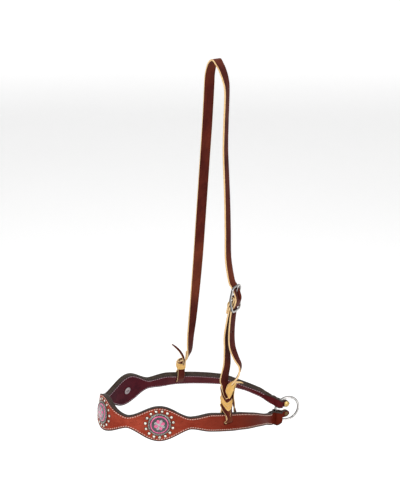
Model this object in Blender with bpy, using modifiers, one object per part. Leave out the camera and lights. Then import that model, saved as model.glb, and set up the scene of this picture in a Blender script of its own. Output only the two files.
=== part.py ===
"""Bridle noseband: a scalloped, spotted leather loop that hangs from an adjustable strap.

Metres, +Z up. +X runs from the front of the nose back to the chin ring, and -Y is the side with
the buckle. The origin is the underside of the crown bend, where the hanger rests on what holds it.
Run it with blender --background --python part.py, or from the text editor.
"""

from math import asin, atan2, cos, hypot, pi, radians, sin, sqrt

import bmesh
import bpy
import numpy as np
from mathutils import Matrix, Vector

# Fits
CLEARANCE = 0.0003
OVERRUN = 0.004
MERGE = 0.00002

# Plan of the band: heading at shares of its half length, measured from the crosswise direction
HALF_LENGTH = 0.3485
END_RUN = 0.015
station_shares = (0, 0.045, 0.069, 0.092, 0.115, 0.137, 0.211, 0.274, 0.422, 0.527, 0.633, 0.738, 0.844, 1)
STATION_HEADINGS = (0, 6, 24, 42, 50, 53, 61, 67, 81, 92.7, 103.8, 112.8, 118.9, 123.6)
rounding_share = 0.024
PLAN_STEPS = 800

# Height of the band's middle line over the hitches, near side and far side
height_shares = (0, 0.15, 0.28, 0.42, 0.5, 0.59, 0.67, 0.79, 0.9, 0.975, 1.01, 1.043, 1.12)
NEAR_HEIGHTS = (0.0215, 0.0206, 0.0182, 0.0145, 0.0098, 0.0017, -0.0067, -0.023, -0.041, -0.0525,
                -0.0562, -0.058, -0.058)
FAR_HEIGHTS = (0.0215, 0.02, 0.0157, 0.0108, 0.0092, 0.0061, 0.0034, 0.0003, -0.01, -0.0193,
               -0.0284, -0.0366, -0.041)
RING_HEIGHT = -0.0484

# Inward lean of the band's face, in degrees
lean_shares = (0, 0.345, 0.44, 0.56, 0.9, 0.97, 1.01)
NEAR_LEANS = (8, 8, 8, 8, 4, 0, 0)
FAR_LEANS = (8, 8, 20, 36, 34, 14, 0)

# Outline of the band
LOBE_PITCH = 0.0958
LOBE_HEIGHT = 0.054
NECK_HEIGHT = 0.019
CHEEK_HEIGHT = 0.0285
CHEEK_RISE = 0.034
END_HEIGHT = 0.018
LOBE_SHARPNESS = 1.6
HITCH_S = 0.2055
BAND_STEP = 0.008

# Plies
OUTER_PLY = 0.0028
CORE_PLY = 0.0022
LINING_PLY = 0.0026
CORE_INSET = 0.0012
LINING_INSET = 0.0004
EDGE_ROUND = 0.0006

# Chin ring and the tabs that hold it
RING_RADIUS = 0.0206
RING_WIRE = 0.0019
HINGE_INSET = 0.003
RING_REST = radians(-8)
RING_SWING = radians(28)
TAB_HEIGHT = 0.012
TAB_NARROWING = 0.008
TAB_FULL = 0.001
TAB_STEP = 0.0021
SCREW_REACH = 0.0192
TAB_REACH = 0.0252
TUNNEL_REACH = 0.0092
TUNNEL_FLAT = 0.0048

# Conchos and their screws
CONCHO_RADIUS = 0.0172
CONCHO_THICK = 0.0015
CONCHO_SCALLOP = 0.0006
CONCHO_SCALLOPS = 20
FIELD_RADIUS = 0.0142
FIELD_EDGE = 0.0012
FIELD_RISE = 0.0032
ROSETTE_RADIUS = 0.0086
ROSETTE_WAVE = 0.0022
ROSETTE_PETALS = 8
ROSETTE_THICK = 0.0026
BOSS_RADIUS = 0.0034
BOSS_RISE = 0.0012
POST_RADIUS = 0.0024
BACK_RADIUS = 0.006
BACK_THICK = 0.0014

# Spots round each concho
SPOT_CIRCLE = 0.0205
SPOT_RADIUS = 0.0021
SPOT_RISE = 0.0015
SPOT_SINK = 0.0008
spot_inset_share = 0.45
SPOTS = 15
SPOT_TURN = 0.1

# Brass screws at the ring and at the buckle
DOME_RADIUS = 0.0052
DOME_RISE = 0.0034
CAP_RADIUS = 0.0036
CAP_RISE = 0.0009
SHAFT_RADIUS = 0.0019

# Hanger
STRAP = 0.0028
STRAP_WIDTH = 0.0155
CROWN_SETBACK = 0.0197
setback_power = 0.7
CROWN_BEND_RISE = 0.042
CROWN_HEIGHT = 0.5436
near_height_shares = (0, 0.15, 0.26, 0.4, 0.48, 0.69, 0.83, 0.89, 1)
near_gap_shares = (1, 0.86, 0.79, 0.755, 0.725, 0.574, 0.436, 0.422, 0.42)
far_height_shares = (0, 0.12, 0.18, 0.285, 0.41, 0.645, 0.805, 0.96, 1)
far_gap_shares = (1, 0.783, 0.738, 0.661, 0.567, 0.45, 0.369, 0.287, 0.285)
near_bend_power = 1.6
NEAR_TWIST = radians(31)
NEAR_CROWN_TWIST = radians(40)
FAR_TWIST = radians(7)
TWIST_RUN = 0.04

# Hitches
LEG_WIDTH = 0.0112
LEG_TURN = 0.0032
SLOT_MARGIN = 0.0006
STRAIGHTENING = 0.02
HITCH_STEPS = 16
NEAR_HITCH_LEAN = radians(9)
FAR_HITCH_LEAN = radians(8)
NECK_RISE = 0.029
HITCH_RISE = 0.057
HITCH_TOP = 0.068
COLLAR_THICK = 0.0021
COLLAR_HEIGHT = 0.0088
COLLAR_DIP = 0.0135
LOW_COLLAR_RISE = 0.0365
TOP_COLLAR_RISE = 0.0525
TAIL_WIDTH = 0.0085
TAIL_THICK = 0.0018
TAIL_REACH = 0.012

# Buckle
BUCKLE_RISE = 0.2002
BUCKLE_STAND_OFF = 0.0115
FRAME_HALF_WIDTH = 0.0124
FRAME_HALF_HEIGHT = 0.0193
FRAME_WIRE = 0.0017
FRAME_ARCH = 0.005
FRAME_SQUARENESS = 5
arch_share = 0.85
TONGUE_WIRE = 0.0011
TONGUE_OVERHANG = 0.0026
TONGUE_OPEN = radians(30)
FOLD_LENGTH = 0.0245
FOLD_SCREW_DROP = 0.0125
BILLET_HOLE_PITCH = 0.029
BILLET_HOLE_RADIUS = 0.0017
BILLET_HOLES = 3
BILLET_POINT = 0.012

# Colours
RUSSET = (0.30, 0.055, 0.028)
MAROON = (0.075, 0.014, 0.016)
FLESH = (0.79, 0.53, 0.27)
CORE_TAN = (0.42, 0.27, 0.16)
GRAIN = (0.085, 0.032, 0.024)
NICKEL = (0.66, 0.65, 0.62)
BRASS = (0.62, 0.44, 0.16)
SILVER = (0.62, 0.6, 0.57)
FIELD = (0.03, 0.026, 0.028)

OUTER_MID = CORE_PLY / 2 + CLEARANCE + OUTER_PLY / 2
LINING_MID = CORE_PLY / 2 + CLEARANCE + LINING_PLY / 2
OUTER_FACE = OUTER_MID + OUTER_PLY / 2
LINING_FACE = LINING_MID + LINING_PLY / 2
Z = Vector((0, 0, 1))


def ease(share):
    """Smooth step from 0 to 1."""
    share = min(max(share, 0), 1)
    return share * share * (3 - 2 * share)


# Scene and materials

def clear_scene():
    for item in list(bpy.data.objects):
        bpy.data.objects.remove(item)


def collection(name):
    group = bpy.data.collections.get(name) or bpy.data.collections.new(name)
    if name not in bpy.context.scene.collection.children:
        bpy.context.scene.collection.children.link(group)
    return group


def material(name, colour, roughness, metallic=0):
    found = bpy.data.materials.get(name)
    if found:
        return found
    made = bpy.data.materials.new(name)
    made.use_nodes = True
    shader = made.node_tree.nodes["Principled BSDF"]
    shader.inputs["Base Color"].default_value = (*colour, 1)
    shader.inputs["Roughness"].default_value = roughness
    shader.inputs["Metallic"].default_value = metallic
    return made


def add_object(name, data, group, look=None):
    item = bpy.data.objects.new(name, data)
    group.objects.link(item)
    if look:
        data.materials.append(look)
    return item


def add_cutter(name, data):
    item = add_object(name, data, cutters)
    item.hide_render = True
    item.display_type = 'WIRE'
    return item


# Plan and frame of the band

def smoothed(track, width, mirror):
    """A running average; the track goes on past the front mirrored, and level past its end."""
    padded = np.concatenate([mirror * track[width:0:-1], track, np.full(width, track[-1])])
    window = np.hanning(2 * width + 1)
    return np.convolve(padded, window / window.sum(), 'valid')


def plan_table():
    """Arc length, heading and plan position from the front lobe's centre past the tab's tip."""
    arc = np.linspace(0, HALF_LENGTH + END_RUN + TAB_REACH, PLAN_STEPS + 1)
    heading = np.radians(np.interp(arc / HALF_LENGTH, station_shares, STATION_HEADINGS))
    heading = smoothed(heading, smoothing_width(arc), -1)
    closing = np.clip(arc / HALF_LENGTH - HITCH_S / HALF_LENGTH, 0, None)
    turn = np.clip((arc - HALF_LENGTH) / END_RUN, 0, 1)
    turn = turn * turn * (3 - 2 * turn)
    low, high = radians(-60), radians(60)
    for _ in range(40):
        middle = (low + high) / 2
        trial = heading + middle * closing
        trial = trial + (pi / 2 - trial) * turn
        x, y = travel(arc, trial)
        if np.interp(HALF_LENGTH + END_RUN, arc, y) > 0:
            low = middle
        else:
            high = middle
    return arc, trial, x, y


def smoothing_width(arc):
    return int(rounding_share * HALF_LENGTH / (arc[1] - arc[0])) + 1


def travel(arc, heading):
    step = arc[1] - arc[0]
    across = (np.cos(heading[1:]) + np.cos(heading[:-1])) / 2 * step
    back = (np.sin(heading[1:]) + np.sin(heading[:-1])) / 2 * step
    return np.concatenate([[0], np.cumsum(back)]), np.concatenate([[0], np.cumsum(across)])


def along_band(shares, values):
    """A table by share of the half length, as a smooth track along the arc."""
    return smoothed(np.interp(ARC / HALF_LENGTH, shares, values), smoothing_width(ARC), 1)


ARC, HEADING, PLAN_X, PLAN_Y = plan_table()
RING_S = HALF_LENGTH + END_RUN
SCREW_S = RING_S + SCREW_REACH
TIP_S = RING_S + TAB_REACH
HEIGHTS = {-1: along_band(height_shares, NEAR_HEIGHTS), 1: along_band(height_shares, FAR_HEIGHTS)}
LEANS = {-1: along_band(lean_shares, NEAR_LEANS), 1: along_band(lean_shares, FAR_LEANS)}
HITCH_LEANS = {-1: NEAR_HITCH_LEAN, 1: FAR_HITCH_LEAN}
HITCH_X = float(np.interp(HITCH_S, ARC, PLAN_X))
HITCH_Y = float(np.interp(HITCH_S, ARC, PLAN_Y))
CROWN = Vector((HITCH_X + CROWN_SETBACK, 0, CROWN_HEIGHT - STRAP / 2))


def middle(s):
    side = 1 if s >= 0 else -1
    x, y, height = (float(np.interp(abs(s), ARC, track)) for track in (PLAN_X, PLAN_Y, HEIGHTS[side]))
    return Vector((x, side * y, height)) - CROWN


RING_X = float(np.interp(RING_S, ARC, PLAN_X))


def band_frame(s):
    """Origin on the middle surface, with the directions along, up and outward."""
    side = 1 if s >= 0 else -1
    heading = side * float(np.interp(abs(s), ARC, HEADING))
    outward = Vector((-cos(heading), sin(heading), 0))
    step = BAND_STEP / 2
    along = (middle(s + step) - middle(s - step)).normalized()
    along = (along - outward * along.dot(outward)).normalized()
    settle = ease((abs(s) - HITCH_S) / (HALF_LENGTH - HITCH_S))
    up = (Z - along * along.z * (1 - settle)).normalized()
    lean = radians(float(np.interp(abs(s), ARC, LEANS[side])))
    return (middle(s), along, up * cos(lean) - outward * sin(lean),
            outward * cos(lean) + up * sin(lean))


def on_band(s, height, out):
    origin, _, up, outward = band_frame(s)
    return origin + up * height + outward * out


def half_height(s):
    s = abs(s)
    if s < 1.5 * LOBE_PITCH:
        wave = abs(cos(pi * s / LOBE_PITCH)) ** LOBE_SHARPNESS
        return (NECK_HEIGHT + (LOBE_HEIGHT - NECK_HEIGHT) * wave) / 2
    rise = ease((s - 1.5 * LOBE_PITCH) / CHEEK_RISE)
    fall = ease((s - HITCH_S) / (HALF_LENGTH - HITCH_S))
    height = NECK_HEIGHT + (CHEEK_HEIGHT - NECK_HEIGHT) * rise + (END_HEIGHT - CHEEK_HEIGHT) * fall
    height += (TAB_HEIGHT - END_HEIGHT) * ease((s - RING_S - TAB_FULL) / TAB_NARROWING)
    over = s - (TIP_S - TAB_HEIGHT / 2)
    if over > 0:
        round_share = min(over / (TAB_HEIGHT / 2), 1)
        height *= sqrt(max(1 - round_share ** 2, 0.12))
    return height / 2


def wire_exit():
    """How far into the tabs the ring's wire runs before it leaves them at their outermost edges."""
    reaches = []
    for side in (-1, 1):
        for turn in np.linspace(0, pi / 2, PLAN_STEPS):
            reach = RING_RADIUS * (1 - cos(turn))
            offset = abs(float(np.interp(RING_S + reach, ARC, HEIGHTS[side])) - RING_HEIGHT)
            if RING_RADIUS * sin(turn) < offset + TAB_HEIGHT / 2:
                reaches.append(reach)
    return max(reaches)


WIRE_EXIT = wire_exit()


def tunnel_half_gap():
    """Room on each side of the tabs' plane for the wire where it leaves them, at the swing's ends."""
    return (WIRE_EXIT - HINGE_INSET) * sin(RING_SWING) + RING_WIRE + 2 * CLEARANCE


def ply_offset(s, mid, thick):
    """Outward place of a ply: beside the core, round the ring's tunnel, then on the other ply."""
    s = abs(s)
    closed = CLEARANCE / 2 + thick / 2
    base = mid + (closed - mid) * ease((s - HALF_LENGTH) / (RING_S - HALF_LENGTH))
    bulge = tunnel_half_gap() + thick / 2 - closed
    from_centre = abs(s - RING_S - WIRE_EXIT / 2)
    return base + bulge * ease((TUNNEL_REACH - from_centre) / (TUNNEL_REACH - TUNNEL_FLAT))


def band_stations(end, tunnel):
    """Arc places from tip to tip, closer together over the ring's tunnel."""
    fine_from = HALF_LENGTH if tunnel else end
    coarse = max(int(2 * fine_from / BAND_STEP / 2) * 2, 2)
    places = [-fine_from + 2 * fine_from * i / coarse for i in range(coarse + 1)]
    if not tunnel:
        return places
    fine = int((end - fine_from) / TAB_STEP)
    tail = [fine_from + (end - fine_from) * (i + 1) / fine for i in range(fine)]
    return [-s for s in reversed(tail)] + places + tail


# Shapes

def grid_object(name, columns, rows, place, look, group=None):
    """An open sheet: a grid whose corners go where place(column, row share from -1 to 1) says."""
    cage = bmesh.new()
    bmesh.ops.create_grid(cage, x_segments=columns, y_segments=rows, size=1)
    for corner in cage.verts:
        column = round((corner.co.x + 1) / 2 * columns)
        corner.co = place(column, corner.co.y)
    mesh = bpy.data.meshes.new(name)
    cage.to_mesh(mesh)
    cage.free()
    return add_object(name, mesh, group or parts, look)


def thicken(item, thickness, round_edge=0):
    solid = item.modifiers.new("thickness", 'SOLIDIFY')
    solid.thickness = thickness
    solid.offset = 0
    solid.use_even_offset = True
    if round_edge:
        bevel = item.modifiers.new("dressed_edge", 'BEVEL')
        bevel.width = round_edge
        bevel.segments = 1
        bevel.limit_method = 'ANGLE'
        bevel.angle_limit = radians(50)


def cut(item, cutter, operation='DIFFERENCE'):
    change = item.modifiers.new(cutter.name, 'BOOLEAN')
    change.operation = operation
    change.solver = 'EXACT'
    change.object = cutter


def evaluated(item):
    """A plain mesh of the object as its modifiers and curve settings make it."""
    bpy.context.view_layer.update()
    graph = bpy.context.evaluated_depsgraph_get()
    mesh = bpy.data.meshes.new_from_object(item.evaluated_get(graph))
    mesh.transform(item.matrix_world)
    return mesh


def joined(name, items, make=None):
    """One mesh object of several closed bodies that lie apart, used as a Boolean operand."""
    cage = bmesh.new()
    for item in items:
        cage.from_mesh(evaluated(item))
    mesh = bpy.data.meshes.new(name)
    cage.to_mesh(mesh)
    cage.free()
    for item in items:
        bpy.data.objects.remove(item)
    return (make or add_cutter)(name, mesh)


def axes(origin, x_axis, z_axis):
    """A right-handed placement from its origin and its X and Z directions."""
    y_axis = z_axis.cross(x_axis).normalized()
    x_axis = y_axis.cross(z_axis).normalized()
    return Matrix.Translation(origin) @ Matrix((x_axis, y_axis, z_axis)).transposed().to_4x4()


def turned(name, profile, steps, place, look=None, group=None):
    """A profile of (radius, height) points from the axis to the axis, turned by a Screw."""
    mesh = bpy.data.meshes.new(name)
    edges = [(i, i + 1) for i in range(len(profile) - 1)]
    mesh.from_pydata([(radius, 0, height) for radius, height in profile], edges, [])
    item = add_object(name, mesh, group or parts, look)
    item.matrix_world = place
    screw = item.modifiers.new("turn", 'SCREW')
    screw.steps = steps
    screw.render_steps = steps
    screw.use_merge_vertices = True
    screw.merge_threshold = MERGE
    screw.use_normal_flip = profile[0][1] < profile[-1][1]
    return item


def dome_profile(radius, base, edge, rise, points=5):
    """From the axis under the base, out to the edge and up over a low dome to the axis."""
    profile = [(0, base), (radius, base)]
    for i in range(points):
        turn = pi / 2 * i / points
        profile.append((radius * cos(turn), edge + rise * sin(turn)))
    return profile + [(0, edge + rise)]


def box(name, place, length, width, height, group=None):
    cage = bmesh.new()
    bmesh.ops.create_cube(cage, size=1, matrix=Matrix.Diagonal((length, width, height, 1)))
    mesh = bpy.data.meshes.new(name)
    cage.to_mesh(mesh)
    cage.free()
    item = add_cutter(name, mesh)
    item.matrix_world = place
    return item


def rod(name, place, radius, length, sides=12, stretch=0):
    """A cylinder along the place's Z axis, drawn out along its X axis by stretch."""
    cage = bmesh.new()
    bmesh.ops.create_cone(cage, cap_ends=True, segments=sides, radius1=radius, radius2=radius, depth=length)
    for corner in cage.verts:
        if corner.co.x > MERGE:
            corner.co.x += stretch / 2
        elif corner.co.x < -MERGE:
            corner.co.x -= stretch / 2
    mesh = bpy.data.meshes.new(name)
    cage.to_mesh(mesh)
    cage.free()
    item = add_cutter(name, mesh)
    item.matrix_world = place
    return item


def wire(name, points, radius, closed, look, group=None, resolution=2):
    """A POLY curve with a round section and filled ends."""
    data = bpy.data.curves.new(name, 'CURVE')
    data.dimensions = '3D'
    data.bevel_depth = radius
    data.bevel_resolution = resolution
    data.use_fill_caps = True
    spline = data.splines.new('POLY')
    spline.points.add(len(points) - 1)
    for point, where in zip(spline.points, points):
        point.co = (*where, 1)
    spline.use_cyclic_u = closed
    return add_object(name, data, group or parts, look)


def plate(name, outlines, thickness, place, look, group=None):
    """A flat plate from closed outlines, the first outside and the others its holes."""
    data = bpy.data.curves.new(name, 'CURVE')
    data.dimensions = '2D'
    data.fill_mode = 'BOTH'
    data.extrude = thickness / 2
    for outline in outlines:
        spline = data.splines.new('POLY')
        spline.points.add(len(outline) - 1)
        for point, (x, y) in zip(spline.points, outline):
            point.co = (x, y, 0, 1)
        spline.use_cyclic_u = True
    item = add_object(name, data, group or parts, look)
    item.matrix_world = place
    return item


def smooth_path(knots, steps):
    """Catmull-Rom stations through knots of (centre, width direction, half width)."""
    stations = []
    for i, count in enumerate(steps):
        around = [knots[min(max(i + k, 0), len(knots) - 1)] for k in (-1, 0, 1, 2)]
        for j in range(count + (i == len(steps) - 1)):
            t = j / count
            values = []
            for field in range(3):
                a, b, c, d = (knot[field] for knot in around)
                if field < 2:
                    values.append(0.5 * (2 * b + (c - a) * t + (2 * a - 5 * b + 4 * c - d) * t ** 2
                                         + (3 * b - a - 3 * c + d) * t ** 3))
                else:
                    values.append(b + (c - b) * t)
            stations.append(values)
    return stations


def ribbon(name, stations, thickness, look, round_edge=0):
    """A strap that follows stations of (centre, width direction, half width)."""
    last = len(stations) - 1

    def place(column, row):
        centre, across, half = stations[column]
        ahead = stations[min(column + 1, last)][0] - stations[max(column - 1, 0)][0]
        ahead.normalize()
        level = (across - ahead * across.dot(ahead)).normalized()
        return centre + level * row * half

    item = grid_object(name, last, 1, place, look)
    thicken(item, thickness, round_edge)
    return item


# Band

def make_ply(name, mid, thick, inset, look, tunnel, round_edge):
    places = band_stations(TIP_S if tunnel else HALF_LENGTH, tunnel)

    def place(column, row):
        s = places[column]
        sign = 1 if mid >= 0 else -1
        out = sign * ply_offset(s, abs(mid), thick) if tunnel else mid
        return on_band(s, row * (half_height(s) - inset), out)

    item = grid_object(name, len(places) - 1, 1, place, look)
    thicken(item, thick, round_edge)
    return item


def band_place(s, height, out):
    """Local X along the band, Y up it and Z outward."""
    origin, along, up, outward = band_frame(s)
    return axes(origin + up * height + outward * out, along, outward)


def make_spots():
    """Dome heads whose lower part sinks into the outer ply that they are riveted through."""
    spots = []
    for lobe in (-1, 0, 1):
        for i in range(SPOTS):
            turn = 2 * pi * (i + SPOT_TURN) / SPOTS
            s = lobe * LOBE_PITCH + SPOT_CIRCLE * cos(turn)
            place = band_place(s, SPOT_CIRCLE * sin(turn), OUTER_FACE)
            cage = bmesh.new()
            bmesh.ops.create_cone(cage, cap_ends=True, segments=6, radius1=SPOT_RADIUS,
                                  radius2=SPOT_RADIUS, depth=2 * SPOT_SINK)
            top = [face for face in cage.faces if face.normal.z > 0.5]
            bmesh.ops.inset_region(cage, faces=top, thickness=SPOT_RADIUS * spot_inset_share)
            for corner in top[0].verts:
                corner.co.z += SPOT_RISE - SPOT_SINK
            mesh = bpy.data.meshes.new("spot")
            cage.to_mesh(mesh)
            cage.free()
            spot = add_cutter("spot", mesh)
            spot.matrix_world = place
            spots.append(spot)
    return joined("spot_heads", spots)


def make_band():
    russet = material("russet_leather", RUSSET, 0.45)
    outer = make_ply("outer_band", OUTER_MID, OUTER_PLY, 0, russet, True, EDGE_ROUND)
    core = make_ply("band_core", 0, CORE_PLY, CORE_INSET, material("core_leather", CORE_TAN, 0.8), False, 0)
    lining = make_ply("band_lining", -LINING_MID, LINING_PLY, LINING_INSET,
                      material("lining_leather", MAROON, 0.55), True, 0)
    through = OUTER_FACE + LINING_FACE + 2 * OVERRUN
    bores = []
    for lobe in (-1, 0, 1):
        post_place = band_place(lobe * LOBE_PITCH, 0, 0)
        bores.append(rod("post_bore", post_place, POST_RADIUS + CLEARANCE, through))
    for side in (-1, 1):
        origin, level, _, outward = hitch_frame(side, 0)
        slot_place = axes(origin, level, outward)
        slot_height = STRAP + 2 * CLEARANCE + 2 * SLOT_MARGIN
        bores.append(rod("hitch_slot", slot_place, slot_height / 2, through, 12,
                         LEG_WIDTH + 4 * CLEARANCE))
    band_bores = joined("band_bores", bores)
    ends = []
    for side in (-1, 1):
        ends.append(rod("tab_bore", band_place(side * SCREW_S, 0, 0), SHAFT_RADIUS + CLEARANCE, through))
    tab_bores = joined("tab_bores", ends)
    for ply in (outer, core, lining):
        cut(ply, band_bores)
    for ply in (outer, lining):
        cut(ply, tab_bores)
    cut(outer, make_spots(), 'UNION')


def ring_points(count, radius, wave=0, lobes=0):
    points = []
    for i in range(count):
        turn = 2 * pi * i / count
        reach = radius + wave * abs(cos(lobes * turn / 2)) if lobes else radius
        points.append((reach * cos(turn), reach * sin(turn)))
    return points


def make_concho(name, s):
    silver = material("silver_rim", SILVER, 0.35, 1)
    seat = band_place(s, 0, OUTER_FACE + CLEARANCE)
    recess = FIELD_RADIUS + 2 * CLEARANCE
    rim_place = seat @ Matrix.Translation((0, 0, CONCHO_THICK / 2))
    rim_outline = ring_points(CONCHO_SCALLOPS * 2, CONCHO_RADIUS - CONCHO_SCALLOP, CONCHO_SCALLOP,
                              CONCHO_SCALLOPS)
    plate(f"concho_rim_{name}", [rim_outline, ring_points(24, recess)], CONCHO_THICK, rim_place, silver)

    dome = dome_profile(FIELD_RADIUS, 0, FIELD_EDGE, FIELD_RISE - FIELD_EDGE)
    field = turned(f"concho_field_{name}", dome, 20, seat, material("black_field", FIELD, 0.4, 0.4))
    petals = plate("petals", [ring_points(ROSETTE_PETALS * 4, ROSETTE_RADIUS - ROSETTE_WAVE, ROSETTE_WAVE,
                                          ROSETTE_PETALS)], ROSETTE_THICK,
                   seat @ Matrix.Translation((0, 0, FIELD_RISE + CONCHO_SCALLOP - ROSETTE_THICK / 2)),
                   silver, cutters)
    cut(field, joined(f"rosette_{name}", [petals]), 'UNION')
    dome = dome_profile(BOSS_RADIUS, FIELD_RISE - FIELD_EDGE, FIELD_RISE + CONCHO_SCALLOP / 2, BOSS_RISE, 3)
    boss = turned("boss", dome, 12, seat, silver, cutters)
    cut(field, joined(f"rosette_boss_{name}", [boss]), 'UNION')

    reach = LINING_FACE + OUTER_FACE + CLEARANCE
    profile = [(0, -BACK_THICK), (BACK_RADIUS - EDGE_ROUND, -BACK_THICK),
               (BACK_RADIUS, EDGE_ROUND - BACK_THICK), (BACK_RADIUS, 0), (POST_RADIUS, 0),
               (POST_RADIUS, reach), (0, reach)]
    turned(f"concho_screw_{name}", profile, 24, band_place(s, 0, -LINING_FACE - CLEARANCE),
           material("steel_back", NICKEL, 0.4, 1))


def make_ring():
    look = material("ring_nickel", NICKEL, 0.22, 1)
    bpy.ops.mesh.primitive_torus_add(major_radius=RING_RADIUS, minor_radius=RING_WIRE,
                                     major_segments=40, minor_segments=8)
    ring = bpy.context.object
    ring.name = "chin_ring"
    for group in list(ring.users_collection):
        group.objects.unlink(ring)
    parts.objects.link(ring)
    ring.data.materials.append(look)
    out = Vector((cos(RING_REST), sin(RING_REST), 0))
    upright = Matrix((out, Z, out.cross(Z))).transposed().to_4x4()
    ring.data.transform(upright @ Matrix.Translation((RING_RADIUS - HINGE_INSET, 0, 0)))
    ring.location = ring_axis()


def ring_axis():
    return Vector((RING_X + HINGE_INSET, 0, RING_HEIGHT)) - CROWN


def make_end_screw(name, side):
    brass = material("brass", BRASS, 0.3, 1)
    lining_out = ply_offset(SCREW_S, LINING_MID, LINING_PLY) + LINING_PLY / 2
    outer_out = ply_offset(SCREW_S, OUTER_MID, OUTER_PLY) + OUTER_PLY / 2
    s = side * SCREW_S
    inward = band_place(s, 0, -lining_out - CLEARANCE) @ Matrix.Rotation(pi, 4, 'X')
    reach = lining_out + outer_out + CLEARANCE
    profile = [(0, -reach), (SHAFT_RADIUS, -reach), (SHAFT_RADIUS, 0), (DOME_RADIUS, 0)]
    for i in range(5):
        turn = pi / 2 * i / 5
        profile.append((DOME_RADIUS * cos(turn), EDGE_ROUND + (DOME_RISE - EDGE_ROUND) * sin(turn)))
    turned(f"ring_screw_{name}", profile + [(0, DOME_RISE)], 20, inward, brass)
    turned(f"ring_screw_cap_{name}", dome_profile(CAP_RADIUS, 0, CAP_RISE / 2, CAP_RISE / 2, 3), 16,
           band_place(s, 0, outer_out + 2 * CLEARANCE), brass)


# Hanger

def leg_point(side, rise):
    """Plan place of a hanger leg at a height over the slots."""
    share = rise / (CROWN_HEIGHT - CROWN_BEND_RISE)
    if side < 0:
        half = HITCH_Y * float(np.interp(share, near_height_shares, near_gap_shares))
    else:
        half = HITCH_Y * float(np.interp(share, far_height_shares, far_gap_shares))
    back = HITCH_X + CROWN_SETBACK * min(share, 1) ** setback_power
    return Vector((back, side * half, rise)) - CROWN


def leg_axes(side, rise):
    """Width direction and outward direction of a leg, turned a little about its length."""
    crown_share = ease((rise - BUCKLE_RISE) / (CROWN_HEIGHT - CROWN_BEND_RISE - BUCKLE_RISE))
    near_twist = NEAR_TWIST + (NEAR_CROWN_TWIST - NEAR_TWIST) * crown_share
    twist = (near_twist if side < 0 else FAR_TWIST) * ease((rise - HITCH_TOP) / TWIST_RUN)
    across = Vector((cos(twist), sin(twist), 0))
    outward = Vector((sin(twist), -cos(twist), 0)) if side < 0 else Vector((-sin(twist), cos(twist), 0))
    return across, outward


def leg_knot(side, rise, out=0, half=None):
    across, outward = leg_axes(side, rise)
    return (leg_point(side, rise) + outward * out, across, half or STRAP_WIDTH / 2)


def hitch_frame(side, height):
    """Frame of the hitch: it follows the band's face from the slot and straightens over its edge."""
    origin, _, _, outward = band_frame(side * HITCH_S)
    flat = Vector((outward.x, outward.y, 0)).normalized()
    lean = asin(outward.z)
    back = Vector((CROWN_SETBACK / (CROWN_HEIGHT - CROWN_BEND_RISE), 0, 0))
    shoulder = CHEEK_HEIGHT / 2
    over = max(height - shoulder, 0)
    origin = origin + (Z * cos(lean) - flat * sin(lean)) * min(height, shoulder)
    angle = lean
    for i in range(HITCH_STEPS):
        turned_share = ease(over * (i + 0.5) / HITCH_STEPS / STRAIGHTENING)
        angle = lean + (HITCH_LEANS[side] - lean) * turned_share
        origin = origin + (Z * cos(angle) - flat * sin(angle) + back * turned_share) * over / HITCH_STEPS
    angle = lean + (HITCH_LEANS[side] - lean) * ease(over / STRAIGHTENING)
    return origin, flat.cross(Z), Z * cos(angle) - flat * sin(angle), flat * cos(angle) + Z * sin(angle)


def hitch_knot(side, height, out, half):
    origin, level, _, outward = hitch_frame(side, height)
    return (origin + outward * out, level * side, half)


def leg_spread(height, face):
    """How far out a hitch leg's middle lies: clear of the band below, paired above."""
    beside = face + STRAP / 2 + 2 * CLEARANCE
    paired = STRAP / 2 + CLEARANCE
    shoulder = CHEEK_HEIGHT / 2
    return paired + (beside - paired) * ease((NECK_RISE - height) / (NECK_RISE - shoulder))


def hitch_knots(side):
    """From the end behind the band down its inside, through the slot and up the outside."""
    narrow = LEG_WIDTH / 2
    out = leg_spread(0, OUTER_FACE)
    inside = leg_spread(0, LINING_FACE)
    paired = leg_spread(NECK_RISE, OUTER_FACE)
    shoulder = CHEEK_HEIGHT / 2
    waist = (shoulder + NECK_RISE) / 2
    turn = LEG_TURN * (1 - cos(pi / 4))
    knots = [hitch_knot(side, HITCH_RISE, -paired, narrow),
             hitch_knot(side, NECK_RISE, -paired, narrow),
             hitch_knot(side, waist, -leg_spread(waist, LINING_FACE), narrow),
             hitch_knot(side, shoulder, -inside, narrow),
             hitch_knot(side, LEG_TURN, -inside, narrow),
             hitch_knot(side, turn, turn - inside, narrow),
             hitch_knot(side, 0, LEG_TURN - inside, narrow),
             hitch_knot(side, 0, out - LEG_TURN, narrow),
             hitch_knot(side, turn, out - turn, narrow),
             hitch_knot(side, LEG_TURN, out, narrow),
             hitch_knot(side, shoulder, out, narrow),
             hitch_knot(side, waist, leg_spread(waist, OUTER_FACE), narrow),
             hitch_knot(side, NECK_RISE, paired, narrow),
             hitch_knot(side, HITCH_RISE, paired, narrow)]
    return knots, [3, 2, 2, 2, 2, 2, 1, 2, 2, 2, 2, 2, 3]


# Outward places of the two straps beside the buckle, from its centre bar

BILLET_MID = FRAME_WIRE + CLEARANCE + STRAP + CLEARANCE + STRAP / 2
BAR_BACK = FRAME_ARCH - FRAME_WIRE - 2 * CLEARANCE - STRAP / 2
FOLD_MID = FRAME_WIRE + CLEARANCE + STRAP / 2


def billet_out(drop):
    """Outward place of the billet at a drop below the centre bar."""
    share = min(abs(drop) / FRAME_HALF_HEIGHT, 1)
    return BAR_BACK + (BILLET_MID - BAR_BACK) * (1 - share ** 1.5)


def buckle_knot(drop, out, half=None):
    across, outward = leg_axes(-1, BUCKLE_RISE)
    centre = buckle_centre() - Z * drop + outward * out
    return (centre, across, half or STRAP_WIDTH / 2)


def buckle_centre():
    outward = leg_axes(-1, BUCKLE_RISE)[1]
    return leg_point(-1, BUCKLE_RISE) + outward * BUCKLE_STAND_OFF


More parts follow.
